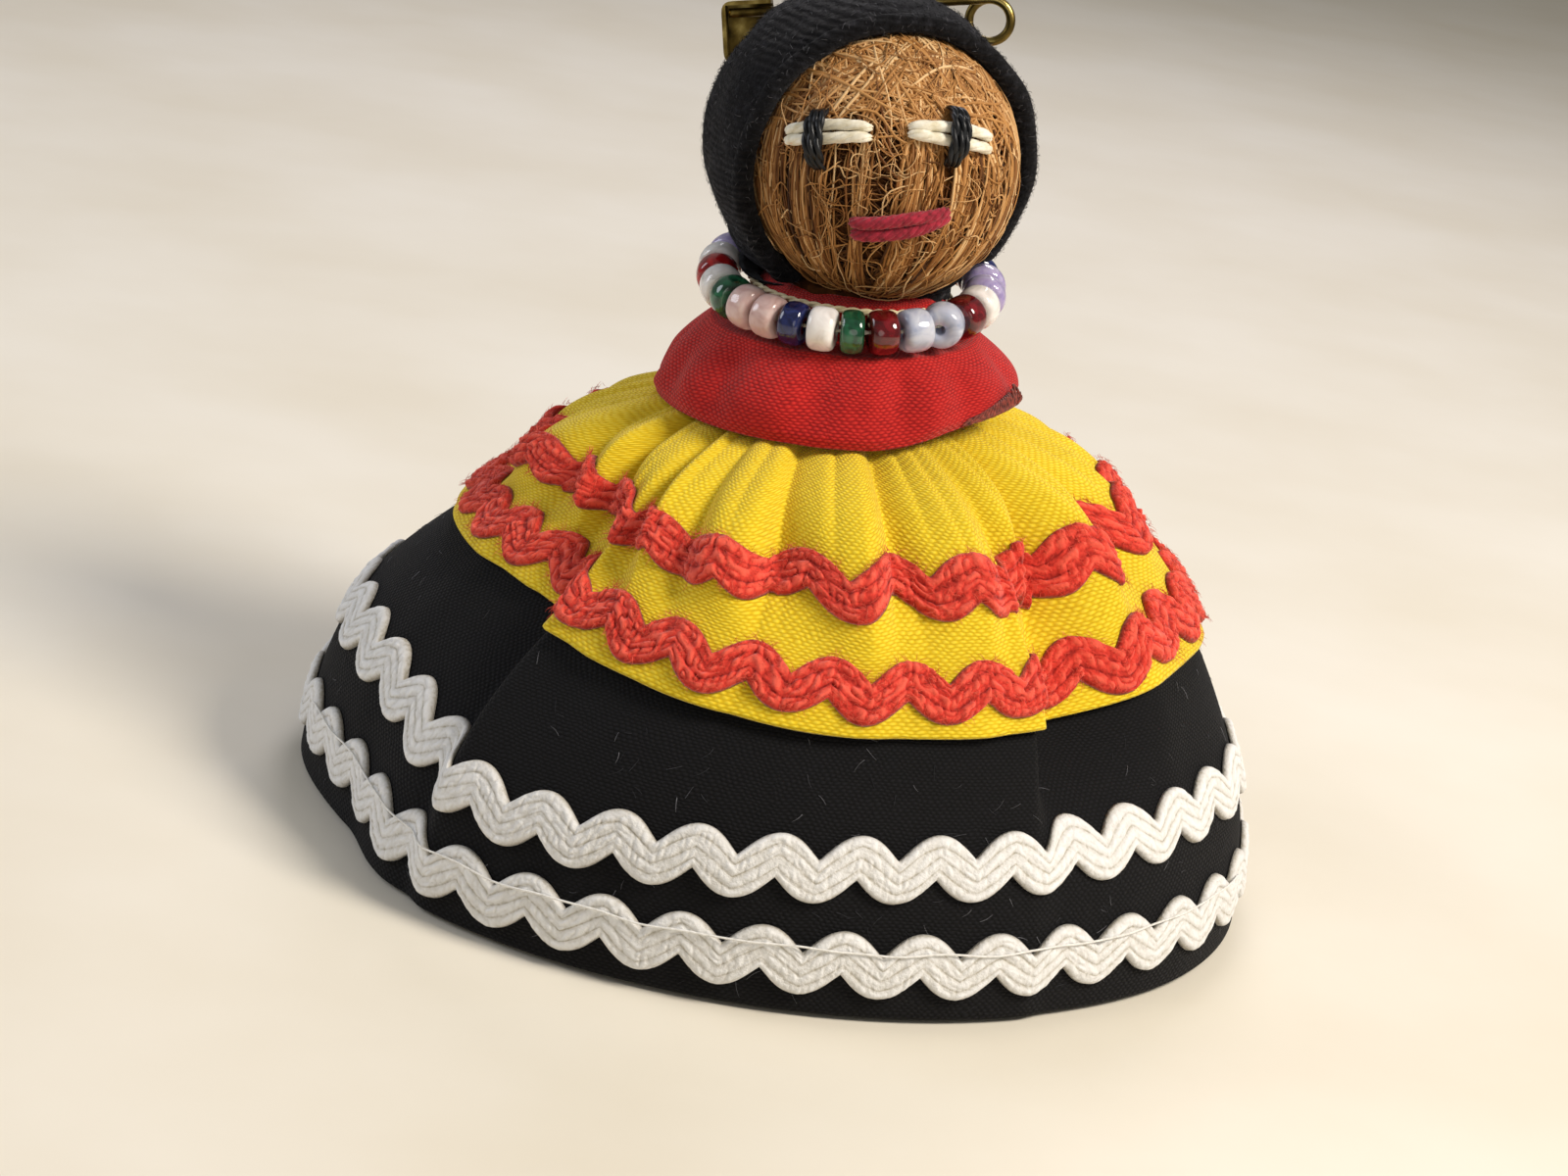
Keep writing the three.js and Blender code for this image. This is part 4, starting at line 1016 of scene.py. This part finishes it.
def laid(count, across, up, heading, length, lift, radius, shade, seed, wiggle=0.25, bunches=0, points=12):
    """Strands on the ball: places and headings in degrees, sizes in mm, each as a range or a mean and spread.

    Where bunches is given, they lie in so many bunches with gaps between them.
    """
    chance = np.random.default_rng(seed)
    if bunches:
        middles = chance.uniform(*across, bunches)
        a = middles[chance.integers(0, bunches, count)] + chance.normal(0, BUNCH_SPREAD, count)
    else:
        a = chance.uniform(*across, count)
    a = np.radians(a)[:, None]
    b = np.radians(chance.uniform(*up, count))[:, None]
    place = np.cos(b) * (np.cos(a) * face_front + np.sin(a) * face_right) + np.sin(b) * face_above
    right = unit(np.cross(place, face_above))
    above = np.cross(right, place)
    turn = np.radians(chance.normal(*heading, count))[:, None]
    along = right * np.cos(turn) + above * np.sin(turn)
    aside = np.cross(place, along)
    span = chance.uniform(*length, count)[:, None] / HEAD_RADIUS
    u = np.linspace(-0.5, 0.5, points)[None, :]
    theta = (span * u)[..., None]
    bend = (chance.normal(0, wiggle, (count, 1)) * (4 * u**2 - 0.3))[..., None]
    swing = chance.normal(0, wiggle / 5, (count, 1))
    wave = (swing * np.sin(9 * u + chance.uniform(0, 6, (count, 1))))[..., None]
    path = place[:, None, :] * np.cos(theta) + along[:, None, :] * np.sin(theta)
    path = unit(path + aside[:, None, :] * (bend + wave) * span[..., None])
    high = chance.uniform(*lift, count)[:, None] * (1 - (2 * u) ** 4) - 0.25 * (2 * u) ** 4
    thick = chance.uniform(*radius, count)[:, None] * (1 - 0.5 * (2 * u) ** 4)
    tone = np.clip(chance.normal(*shade, count), 0, 1)
    return HEAD_CENTRE + path * (HEAD_RADIUS + high)[..., None], thick, tone


everywhere = (-115, 115)
# Shades by family: the ground strands lie lowest and are darkest, as painted shade under the others; the
# lengthwise ones are middling, and those laid on top are lightest, partly as painted light.
families = [
    laid(900, everywhere, (-80, 85), (0, 90), (4, 10), (-0.4, -0.15), (0.08, 0.14), (0.14, 0.1), 41),
    laid(640, everywhere, (-75, 40), (90, 4), (12, 24), (-0.05, 0.2), (0.1, 0.18), (0.5, 0.24), 42, 0.04, 64),
    laid(190, (-100, 100), (20, 88), (62, 8), (9, 18), (0.05, 0.3), (0.11, 0.19), (0.72, 0.2), 43, 0.06, 30),
    laid(170, (-100, 100), (25, 88), (-58, 9), (9, 16), (0.05, 0.3), (0.11, 0.19), (0.68, 0.2), 44, 0.06, 26),
    laid(110, (-80, 80), (14, 60), (4, 12), (6, 16), (0.1, 0.35), (0.11, 0.18), (0.72, 0.18), 45, 0.12),
    laid(260, (-60, 60), (-35, 40), (20, 45), (1.6, 4.2), (0.05, 0.35), (0.05, 0.1), (0.66, 0.18), 46, 0.5),
    laid(160, (-95, 95), (-70, 75), (80, 25), (3, 9), (0.1, 0.6), (0.05, 0.09), (0.7, 0.16), 47, 0.4),
]
fibre_paths = np.concatenate([family[0] for family in families])
fibre_radii = np.concatenate([family[1] for family in families])
fibre_shades = np.concatenate([family[2] for family in families])
fibre_ups = fibre_paths - HEAD_CENTRE
where = {"shades": fibre_shades, "slot": "palmetto_fiber"}
strands("head_fibre", fibre_paths, fibre_radii, fibre_ups, palm_fibre, **where)
print("fibre strands", len(fibre_paths))

# %% [markdown]
# ## Stitched face
# Each eye is two strands of white cotton with a black stitch over them, and the mouth is two strands of
# crimson wool. The stitches are placed in the same way as in the CAD source, by degrees across and up
# from the front of the head, with the right eye turned a little closer to the photograph, and each
# strand is spun from its plies. The left eye's strands lie side by side, the right eye's part at one
# end.

# %% Stitches on the head
EYES = {
    "left": {"across": -28, "up": 18.6, "slope": 15, "shift": -1.0, "part": (0.52, 0.52)},
    "right": {"across": 30, "up": 25.8, "slope": -7, "shift": 0.0, "part": (0.42, 0.66)},
}
EYE_LENGTH = 8.8
EYE_RADIUS = 0.54
EYE_FLOSS = {"count": 4, "radius": EYE_RADIUS, "fullness": 0.65, "pitch": 6.5, "look": white_thread}
PUPIL_LANES = (-0.62, 0, 0.62)
PUPIL_HALF = 2.75
PUPIL_PLY = 0.27
MOUTH = {"across": 11, "up": -13, "slope": 17}
MOUTH_LENGTH = 9.3
MOUTH_RADIUS = 0.62
MOUTH_FLOSS = {"count": 5, "radius": MOUTH_RADIUS, "fullness": 0.5, "pitch": 4.2, "look": crimson_thread}
PAIR = {"upper": 1, "lower": -1}


def on_head(across, up, slope, along, aside, high):
    """Points on the head: along and aside in mm from a place given in degrees, high above the ball."""
    a, b, s = math.radians(across), math.radians(up), math.radians(slope)
    middle = direction(a, b)
    right = np.array([math.cos(a), math.sin(a), 0])
    above = -np.cross(right, middle)
    radius = HEAD_RADIUS + np.asarray(high)
    x = along * math.cos(s) - aside * math.sin(s)
    y = along * math.sin(s) + aside * math.cos(s)
    place = middle + (x / radius)[:, None] * right + (y / radius)[:, None] * above
    return HEAD_CENTRE + unit(place) * np.broadcast_to(radius, x.shape)[:, None]


def stitch(name, path, count, radius, fullness, pitch, look, **where):
    """A spun strand along a path on the head, with blunt ends; fullness is a ply's share of its radius."""
    up = unit(path - HEAD_CENTRE)
    u = np.linspace(-1, 1, len(path))
    blunt = np.sqrt(np.maximum(0.04, 1 - np.abs(u) ** 10))
    paths = plies(path, up, count, radius * (1 - fullness), pitch)
    return strands(name, paths, radius * fullness * blunt, up, look, sides=10, **where)


print("a stitch has", EYE_FLOSS["count"], "or", MOUTH_FLOSS["count"], "plies")

# %% Eyes
along_share = np.linspace(-1, 1, 60)
for side, eye in EYES.items():
    spot = (eye["across"], eye["up"], eye["slope"])
    for level, sign in PAIR.items():
        aside = sign * blend_to(eye["part"][0], eye["part"][1], (along_share + 1) / 2)
        sag = 0.12 * np.sin(2.2 * along_share + sign)
        high = EYE_RADIUS + 0.25 - 0.5 * along_share**8
        path = on_head(*spot, along_share * EYE_LENGTH / 2, aside + sag, high)
        node_name = f"eye_white_{side}_{level}"
        where = {"slot": "white_thread", "replaces": [node_name]}
        stitch(f"{node_name}_floss", path, **EYE_FLOSS, **where)
    lanes = []
    for lane in PUPIL_LANES:
        over = 2 * EYE_RADIUS + 0.55 + 0.12 * np.cos(3 * lane)
        high = over * (1 - np.abs(along_share) ** 3.2) + 0.2
        drift = lane * (1 - 0.35 * along_share**2)
        down = along_share * PUPIL_HALF - abs(eye["shift"]) * 0.55
        path = on_head(*spot, eye["shift"] * 0.6 + drift, down, high)
        lanes.append(plies(path, unit(path - HEAD_CENTRE), count=2, reach=0.16, pitch=3.4))
    lanes = np.concatenate(lanes)
    ups = unit(lanes - HEAD_CENTRE)
    blunt = np.sqrt(np.maximum(0.1, 1 - np.abs(along_share) ** 8))
    where = {"slot": "black_thread", "replaces": [f"pupil_{side}"]}
    strands(f"pupil_{side}_floss", lanes, PUPIL_PLY * blunt, ups, black_thread, sides=8, **where)
print("eyes", len(EYES))

# %% Mouth
for level, sign in PAIR.items():
    spread = sign * 0.62 * (1 - 0.55 * ease(along_share, 0.1, 1))
    lift = 0.55 + 0.15 * (1 - along_share**2) - 0.4 * np.abs(along_share) ** 7
    path = on_head(**MOUTH, along=along_share * MOUTH_LENGTH / 2, aside=spread, high=lift)
    where = {"slot": "red_thread", "replaces": [f"mouth_{level}"]}
    stitch(f"mouth_{level}_floss", path, **MOUTH_FLOSS, **where)
print("mouth strands", len(PAIR))

# %% [markdown]
# ## Hood
# The hood is a pad of black knitted wool, brushed until it felts, with a thick soft rim round the face.
# It is turned about the axis of the face like a bowl on a lathe, and cut off above the beads. Fine grey
# hairs over it catch the light along its edges, as felt does.

# %% Felted wool
FACE_YAW = math.radians(22)
FACE_PITCH = math.radians(5)
HOOD_RADIUS = 14.9
HOOD_BEHIND = 5.8
HOOD_INSIDE = 12.6
RIM_RADIUS = 0.95
RIM_AHEAD = 0.7
RIM_REACH = 13.75
HOOD_EDGE = np.array([0, 0, 57.94])
HOOD_EDGE_SLOPE = math.radians(16.5)
HOOD_EDGE_ASIDE = math.radians(4.5)
KNIT_ROW = 0.65

face_axis = unit(np.array([math.sin(FACE_YAW), -math.cos(FACE_YAW), -math.tan(FACE_PITCH)]))
hood_side = unit(np.cross(UP, face_axis))
hood_up = np.cross(face_axis, hood_side)
hood_centre = HEAD_CENTRE - HOOD_BEHIND * face_axis

# Felt: tangled wool without gloss. Its colour runs from near black where the bump is low to grey where the
# nap
# stands high: painted shade in the lows and a painted highlight on the nap. The sheen catches light at the
# edges.
felt, tree = blank("black felted wool")
felt_stops = [(0.35, "#08080a"), (0.55, "#141417"), (0.72, "#28282d")]
nap, tint = mottle(tree, 0.9, felt_stops, Detail=6.0, Roughness=0.7)
# A wave texture repeats every 2 pi / 20 of its scale, here once for each knitted row.
rows_scale = 2 * math.pi / 20 * PER_METRE / KNIT_ROW
place = node(tree, "TexCoord", give="Object")
knitted = {"Vector": place, "Scale": rows_scale, "Distortion": 3.0, "Detail": 2.0}
knit = node(tree, "TexWave", knitted, give="Fac", bands_direction="Z")
height = node(tree, "Math", {0: knit, 1: 0.45, 2: nap}, operation="MULTIPLY_ADD")
wool = {"Roughness": 0.95, "Specular_IOR_Level": 0.1, "Sheen_Weight": 0.22, "Sheen_Tint": linear("#9a9a9e")}
dress(tree, tint, (height, 0.9, 0.35), **wool)
print("felt on an axis", [round(float(v), 2) for v in face_axis])

# %% Bowl of the hood


def hood_point(out, behind, turn):
    """Points by how far they are out from the face's axis and behind the head's centre, and their turn."""
    return HEAD_CENTRE + out[..., None] * circle(turn, hood_side, hood_up) - behind[..., None] * face_axis


inner_angle = np.linspace(0.02, math.pi / 2, 24)
rim_angle = np.linspace(1.5 * math.pi, 0.5 * math.pi, 16)
outer_angle = np.linspace(math.acos((RIM_RADIUS - RIM_AHEAD - HOOD_BEHIND) / HOOD_RADIUS), 0.02, 56)
inner_out = HOOD_INSIDE * np.sin(inner_angle)
rim_out = RIM_REACH + RIM_RADIUS * np.sin(rim_angle)
outer_out = HOOD_RADIUS * np.sin(outer_angle)
profile_out = np.concatenate([inner_out, rim_out, outer_out])
inner_behind = HOOD_INSIDE * np.cos(inner_angle)
rim_behind = RIM_RADIUS * np.cos(rim_angle) - RIM_AHEAD
outer_behind = HOOD_BEHIND + HOOD_RADIUS * np.cos(outer_angle)
profile_behind = np.concatenate([inner_behind, rim_behind, outer_behind])
hood_turn = around(160)[None, :]
soft = 0.22 * ripple(hood_turn, profile_behind[:, None] + 0.5 * profile_out[:, None], 22, 3.0, 51)
outside = ease(np.arange(len(profile_out)), len(inner_angle), len(inner_angle) + 6)[:, None]
grid_behind = profile_behind[:, None] + 0 * hood_turn
hood_grid = hood_point(profile_out[:, None] + soft * outside, grid_behind, hood_turn)
hood = skin("hood_felt", hood_grid, felt, slot="black_hood_cloth", replaces=["hood"])
print("hood of", hood_grid.shape[0], "rings")

# %% Cut the hood off above the beads
edge_up = np.array([-math.sin(HOOD_EDGE_ASIDE), 0, math.cos(HOOD_EDGE_ASIDE)]) * math.cos(HOOD_EDGE_SLOPE)
edge_up = edge_up - np.array([0, math.sin(HOOD_EDGE_SLOPE), 0])
work = bmesh.new()
work.from_mesh(hood.data)
everything = [*work.verts, *work.edges, *work.faces]
bmesh.ops.bisect_plane(work, geom=everything, plane_co=HOOD_EDGE * MM, plane_no=edge_up, clear_inner=True)
bmesh.ops.holes_fill(work, edges=[e for e in work.edges if e.is_boundary], sides=0)
bmesh.ops.triangulate(work, faces=[f for f in work.faces if len(f.verts) > 4])
bmesh.ops.recalc_face_normals(work, faces=work.faces)
work.to_mesh(hood.data)
work.free()
print("hood", len(hood.data.polygons), "faces")

# %% Hem of the hood
HEM_ROLL = 0.75
edge_gap = float(np.dot(hood_centre - HOOD_EDGE, edge_up))
hem_middle = hood_centre - edge_gap * edge_up
hem_reach = math.sqrt(HOOD_RADIUS**2 - edge_gap**2) - 0.35
hem_x = unit(np.cross(edge_up, np.array([0, 1.0, 0])))
hem_y = np.cross(edge_up, hem_x)
hem_turn = np.linspace(0, 2 * np.pi, 721)
hem_ring = hem_middle + hem_reach * circle(hem_turn, hem_x, hem_y)
behind_rim = (hem_ring - HEAD_CENTRE) @ -face_axis > -0.3
first_behind = int(np.argmax(behind_rim & ~np.roll(behind_rim, 1)))
hem_path = np.roll(hem_ring[:-1], -first_behind, axis=0)[: int(behind_rim[:-1].sum())] + 0.2 * edge_up
strands("hood_hem", hem_path[None], HEM_ROLL, edge_up, felt, sides=12, slot="black_hood_cloth")
print("hem of", round(hem_reach, 1), "mm radius")

# %% [markdown]
# ## Gather under the hood
# Below its hem the hood is drawn in to the tie, at the sides and behind, and stays open under the chin.
# It could be part of the hood's own mesh, but the hood is a cut bowl, so the gather is one more thin
# skin round the neck, from the tie up to the hem, with small pleats where it is tied.

# %% Gather under the hood
GATHER_OPEN = (50, 80)
GATHER_LOW = NECK_TOP - 0.9
gather_turn = around(180)[None, :]
from_front = np.abs(degrees_from(0, gather_turn))
spread_reach = hem_reach - 0.9
spread_x = spread_reach * np.sin(gather_turn)
spread_y = -spread_reach * np.cos(gather_turn)
edge_z = HOOD_EDGE[2] - (spread_x * edge_up[0] + spread_y * edge_up[1]) / edge_up[2]
gather_high = blend_to(GATHER_LOW + 0.6, edge_z, ease(from_front, *GATHER_OPEN))
up_share = np.linspace(0, 1, 14)[:, None]
gather_z = blend_to(GATHER_LOW, gather_high, up_share)
narrow = collar_neck + 0.1 - 1.6 * (1 - ease(from_front, *GATHER_OPEN))
widest = blend_to(narrow, spread_reach, ease(from_front, *GATHER_OPEN))
pleat = 0.2 * np.cos(26 * gather_turn) * (1 - up_share)
gather_out = blend_to(narrow, widest, ease(up_share, 0.35, 1)) + pleat
gather_outer = hang(gather_turn, gather_out, gather_z)
gather_inner = hang(gather_turn, gather_out - CLOTH_THICK, gather_z)
gather_rows = np.concatenate([gather_outer, gather_inner[::-1]])
skin("hood_gather", gather_rows, felt, wrap_rows=True, slot="black_hood_cloth")
print("gather from", round(GATHER_LOW, 1), "to", round(float(gather_high.max()), 1), "mm")

# %% [markdown]
# ## Nap of the hood
# Brushed felt has fine hairs all over it, which show best along the edges. Like the fluff on the braid,
# each hair is a strand of its own, so that an export keeps it. They grow from the points of the hood's
# grid, and fewer of them where its rings are small, so that they stand about evenly.

# %% Nap of the hood
NAP_HAIRS = 16000
wool_nap = shaded("grey wool nap", [(0.0, "#0b0b0d"), (0.75, "#222226"), (1.0, "#7e7e84")], 0.9)
NAP = {"length": 0.45, "radius": 0.02, "look": wool_nap, "seed": 62, "stand": 0.5}
chance = np.random.default_rng(61)
on_row = chance.integers(len(inner_angle) + 2, len(profile_out) - 1, NAP_HAIRS)
weight = profile_out[on_row] / profile_out.max()
on_row = on_row[chance.uniform(0, 1, NAP_HAIRS) < weight]
on_column = chance.integers(0, hood_grid.shape[1], len(on_row))
roots = hood_grid[on_row, on_column]
keep = (roots - HOOD_EDGE) @ edge_up > 0
roots = roots[keep]
on_rim = on_row[keep] < len(inner_angle) + len(rim_angle)
one_each = np.ones(len(roots))
rim_ring = hood_point(RIM_REACH * one_each, -RIM_AHEAD * one_each, hood_turn[0, on_column[keep]])
normals = unit(np.where(on_rim[:, None], roots - rim_ring, roots - hood_centre))
shades = chance.uniform(0, 1, len(roots)) ** 2
fuzz("hood_nap", roots, normals, shades=shades, slot="black_hood_cloth", **NAP)
print("nap hairs", len(roots))

# %% [markdown]
# ## Beads
# The beads are pressed glass of the small round kind, strung on one thread and free to turn round the
# neck. Each is a ring turned from a rounded profile, so the hole is real. Some are opaque, some milky
# and some clear, so each colour has its own mix of colour, inner light and gloss.

# %% Glass
# Kind: dark streak, colour, light streak, how much light goes through, inner scatter, relative length
BEAD_KINDS = {
    "red": ("#7a0c10", "#a3151a", "#c02a28", 0.05, 0.1, 1.0),
    "ruby": ("#3c0509", "#6a0d14", "#98202a", 0.35, 0.0, 1.05),
    "white": ("#cfcac6", "#e6e2df", "#efedeb", 0.0, 0.25, 1.0),
    "rose": ("#c9a49e", "#dcbdb8", "#e8d2cc", 0.1, 0.25, 0.95),
    "opal": ("#a9b2cc", "#c9cfe2", "#dfe3ee", 0.25, 0.3, 1.1),
    "lavender": ("#a394c8", "#bdb2d8", "#d5cdea", 0.2, 0.3, 0.95),
    "green": ("#0e3222", "#1d5a3c", "#2f7a54", 0.25, 0.0, 0.85),
    "blue": ("#0c1030", "#1a2250", "#2e3a78", 0.2, 0.0, 0.85),
}
STRUNG = "red white green rose rose blue white green ruby opal opal ruby white lavender lavender blue"
STRUNG = (STRUNG + " white red green white rose opal blue red white green lavender white").split()


def glass(kind):
    """Pressed glass: smooth and glossy, with faint streaks of colour from the mould, about 2 mm wide."""
    dark, colour, light, clear, milky = BEAD_KINDS[kind][:5]
    look, tree = blank(f"{kind} pressed glass")
    tint = mottle(tree, 2, [(0.3, dark), (0.5, colour), (0.7, light)], Distortion=1.5)[1]
    gloss = {"Roughness": 0.09, "IOR": 1.52, "Coat_Weight": 0.4, "Coat_Roughness": 0.04}
    depth = {"Subsurface_Radius": (1.2 * MM, 1.0 * MM, 0.9 * MM), "Subsurface_Scale": 1.0}
    dress(tree, tint, Transmission_Weight=clear, Subsurface_Weight=milky, **gloss, **depth)
    return look


glasses = {kind: glass(kind) for kind in BEAD_KINDS}
print("kinds of glass", len(glasses))

# %% Beads on their thread
STRING_RADIUS = 12.5
STRING_FORWARD = math.radians(8)
STRING_ASIDE = math.radians(-4.5)
BEAD_RADIUS = 2.1
BEAD_BORE = 0.55
BEAD_GAP = 0.3
TURNED_BEAD = 10
TURNED_BY = math.radians(38)

joints = {joint["name"]: joint for joint in frame["joints"]}
ring_place = np.array(joints["necklace_turn"]["pos_m"]) / MM
ring_turn = np.array(Matrix.Rotation(STRING_FORWARD, 3, "X") @ Matrix.Rotation(STRING_ASIDE, 3, "Y"))


def in_ring(points):
    return points @ ring_turn.T + ring_place


lengths = np.array([BEAD_KINDS[kind][5] for kind in STRUNG])
lengths *= (2 * math.pi * STRING_RADIUS - len(STRUNG) * BEAD_GAP) / lengths.sum()
starts = np.concatenate([[0], np.cumsum(lengths + BEAD_GAP)[:-1]])
centres = (starts + lengths / 2 + BEAD_GAP / 2) / STRING_RADIUS - math.pi / 2
round_turn = around(40)[None, :]
swell = np.linspace(-1, 1, 26)[:, None]
chance = np.random.default_rng(71)
for i, kind in enumerate(STRUNG):
    half = lengths[i] / 2
    size = BEAD_RADIUS * chance.uniform(0.96, 1.0)
    out = BEAD_BORE + (size - BEAD_BORE) * np.maximum(0, 1 - np.abs(swell) ** 2.4) ** (1 / 2.2)
    along = half * np.sin(swell * math.pi / 2)
    bore = np.array([[0.8], [0.0], [-0.8]]) * half
    out = np.concatenate([out, np.full_like(bore, BEAD_BORE * 0.9)])
    along = np.concatenate([along, bore])
    azimuth = centres[i]
    place = STRING_RADIUS * direction(azimuth)
    facing = azimuth + (TURNED_BY if i == TURNED_BEAD else 0)
    tangent = np.array([math.cos(facing), math.sin(facing), 0])
    radial = direction(facing)
    points = place + along[..., None] * tangent + out[..., None] * circle(round_turn, radial, UP)
    name = f"bead_{i + 1:02d}"
    where = {"body": "necklace", "slot": f"glass_{kind}", "replaces": [name]}
    skin(f"{name}_glass", in_ring(points), glasses[kind], wrap_rows=True, **where)

thread_turn = np.linspace(0, 2 * math.pi, 200)
thread_path = STRING_RADIUS * direction(thread_turn)
thread_plies = plies(thread_path, UP, count=2, reach=0.11, pitch=1.5)
where = {"body": "necklace", "slot": "white_thread", "replaces": ["necklace_thread"]}
strands("bead_thread", in_ring(thread_plies), 0.12, ring_turn @ UP, white_thread, sides=6, **where)
print("beads", len(STRUNG))

# %% [markdown]
# ## Safety pin
# The pin is one brass wire, coiled at one end and capped at the other, and it can swing open at the
# coil. The CAD model splits it at the coil into an arm and a back, so each rides on its own body. Both
# are round strands here, with more steps in the coil, and the cap is the CAD shape with its edges
# rounded by a bevel.

# %% Aged brass
# Brass wire that has darkened: the metal shows where it is rubbed and is brown where it isn't.
brass, tree = blank("aged brass")
tarnish, tint = mottle(tree, 2.5, [(0.35, "#3a2f16"), (0.5, "#6e5c2e"), (0.65, "#a08e54")], Detail=6.0)
dull = node(tree, "MapRange", {0: tarnish, 1: 0.3, 2: 0.7, 3: 0.5, 4: 0.26})
place = node(tree, "TexCoord", give="Object")
scratch = node(tree, "TexNoise", {"Vector": place, "Scale": PER_METRE / 0.4, "Detail": 3.0})
dress(tree, tint, (scratch, 0.25, 0.05), Roughness=dull, Metallic=1.0)
print("metal", brass.name)

# %% Wires and cap
WIRE_RADIUS = 0.45
COIL_RADIUS = 2
TURN_APART = 1.4
PIN_REACH = 24.8
POINT_LENGTH = 3

pin_along = unit(np.array(joints["pin_swivel"]["axis"]))
pin_across = unit(np.array(joints["pin_open"]["axis"]))
pin_up = np.cross(pin_across, pin_along)
coil_centre = np.array(joints["pin_open"]["pos_m"]) / MM


def pin_wire(name, side, tip, **where):
    """A straight wire that winds three quarters round the coil; side is -1 for the arm and 1 for the back."""
    straight_x = np.linspace(PIN_REACH, 0.2, 90)
    straight_y = np.full_like(straight_x, side * COIL_RADIUS)
    angle = side * (math.pi / 2 + np.linspace(0, 1.5 * math.pi, 80))
    x = np.concatenate([straight_x, COIL_RADIUS * np.cos(angle)])
    y = np.concatenate([straight_y, COIL_RADIUS * np.sin(angle)])
    depth = np.full_like(x, -side * TURN_APART / 2)
    path = coil_centre + x[:, None] * pin_along + y[:, None] * pin_up + depth[:, None] * pin_across
    taper = np.clip(blend_to(tip, 1, (PIN_REACH - x) / POINT_LENGTH), tip, 1)
    radii = WIRE_RADIUS * taper[None]
    return strands(name, path[None], radii, pin_across, brass, sides=16, slot="antique_brass", **where)


pin_arm = pin_wire("pin_arm_wire", -1, 0.12, body="pin_arm", replaces=["pin_arm"])
pin_back = pin_wire("pin_back_smooth", 1, 1.0, body="pin_back", replaces=["pin_back_wire"])

cap_mesh = frame["nodes"]["pin_cap"].data.copy()
work = bmesh.new()
work.from_mesh(cap_mesh)
bmesh.ops.remove_doubles(work, verts=work.verts, dist=0.001 * MM)
bmesh.ops.dissolve_limit(work, angle_limit=math.radians(2), verts=work.verts, edges=work.edges)
work.to_mesh(cap_mesh)
work.free()
cap_mesh.materials.clear()
cap_mesh.materials.append(brass)
cap = placed("pin_cap_pressed", cap_mesh)
rounding = cap.modifiers.new("rounded edges", "BEVEL")
rounding.width = 0.14 * MM
rounding.segments = 3
rounding.limit_method = "ANGLE"
rounding.angle_limit = math.radians(35)
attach(cap, "pin_back")
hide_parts("pin_cap")
print("pin of", len(pin_arm.data.vertices) + len(pin_back.data.vertices), "points")

# %% [markdown]
# ## Body, base and lint
# Under the skirt a stuffed cone of husk stands on a disc of card. Neither shows from the front, but the
# part is looked at from below too. The body is a plain skin, and the card keeps its CAD shape and gets
# a material. Lint on the black skirt is the last touch: a few short pale hairs.

# %% Body and card
BODY_BOTTOM = 1.9
BODY_TOP = 56.2
BODY_CROWN = 56.4
BODY_SLACK = 2.4
inner_neck = NECK_RADIUS - 0.6
neck_z = np.linspace(46, BODY_TOP, 8)
body_z = np.concatenate([np.linspace(BODY_BOTTOM, SEAM_HEIGHT, 40), neck_z])[:, None]
body_turn = around(120)[None, :]
deepest = np.max(folds_at(body_turn, body_z)[0], axis=1, keepdims=True)
bell_radius = skirt_radius(np.minimum(body_z, SEAM_HEIGHT)) - deepest - CLOTH_THICK - BODY_SLACK
stuffing = 0.3 * ripple(body_turn, body_z, 30, 4.0, 81)
body_radius = np.where(body_z > SEAM_HEIGHT, inner_neck, np.maximum(bell_radius, inner_neck)) + stuffing
body_points = hang(body_turn, body_radius, body_z)
floor_ring = hang(body_turn, 0.5, BODY_BOTTOM)
crown_ring = hang(body_turn, 0.5, BODY_CROWN)
body_points = np.concatenate([floor_ring, body_points, crown_ring])
torso = skin("body_husk", body_points, husk, slot="palmetto_fiber", replaces=["body"])

# Card: pressed grey-brown pulp, matt, with faint flecks and streaks.
card, tree = blank("grey-brown card")
pulp, tint = mottle(tree, 3, [(0.3, "#7a6144"), (0.7, "#9c8260")], Detail=8.0)
dress(tree, tint, (pulp, 0.3, 0.1), Roughness=0.9, Specular_IOR_Level=0.2)
frame["nodes"]["base_disc"].data.materials[0] = card
print("body", len(torso.data.vertices), "points")

# %% Lint on the skirt
LINT_HAIRS = 500
LINT_SPAN = (1.5, 26)
lint_look = shaded("grey cotton lint", [(0.0, "#2a2b30"), (1.0, "#8f8f96")], 0.9)
LINT = {"length": 1.1, "radius": 0.025, "look": lint_look, "seed": 92, "stand": 0.12}
chance = np.random.default_rng(91)
lint_azimuth = chance.uniform(0, 2 * np.pi, LINT_HAIRS)
lint_z = chance.uniform(*LINT_SPAN, LINT_HAIRS)
roots = lifted(skirt_surface, lint_azimuth, lint_z, 0.02)
normals = unit(lifted(skirt_surface, lint_azimuth, lint_z, 0.5) - roots)
shades = chance.uniform(0, 1, LINT_HAIRS) ** 2
lint = fuzz("skirt_lint", roots, normals, shades=shades, slot="black_cotton", **LINT)
print("lint hairs", LINT_HAIRS)
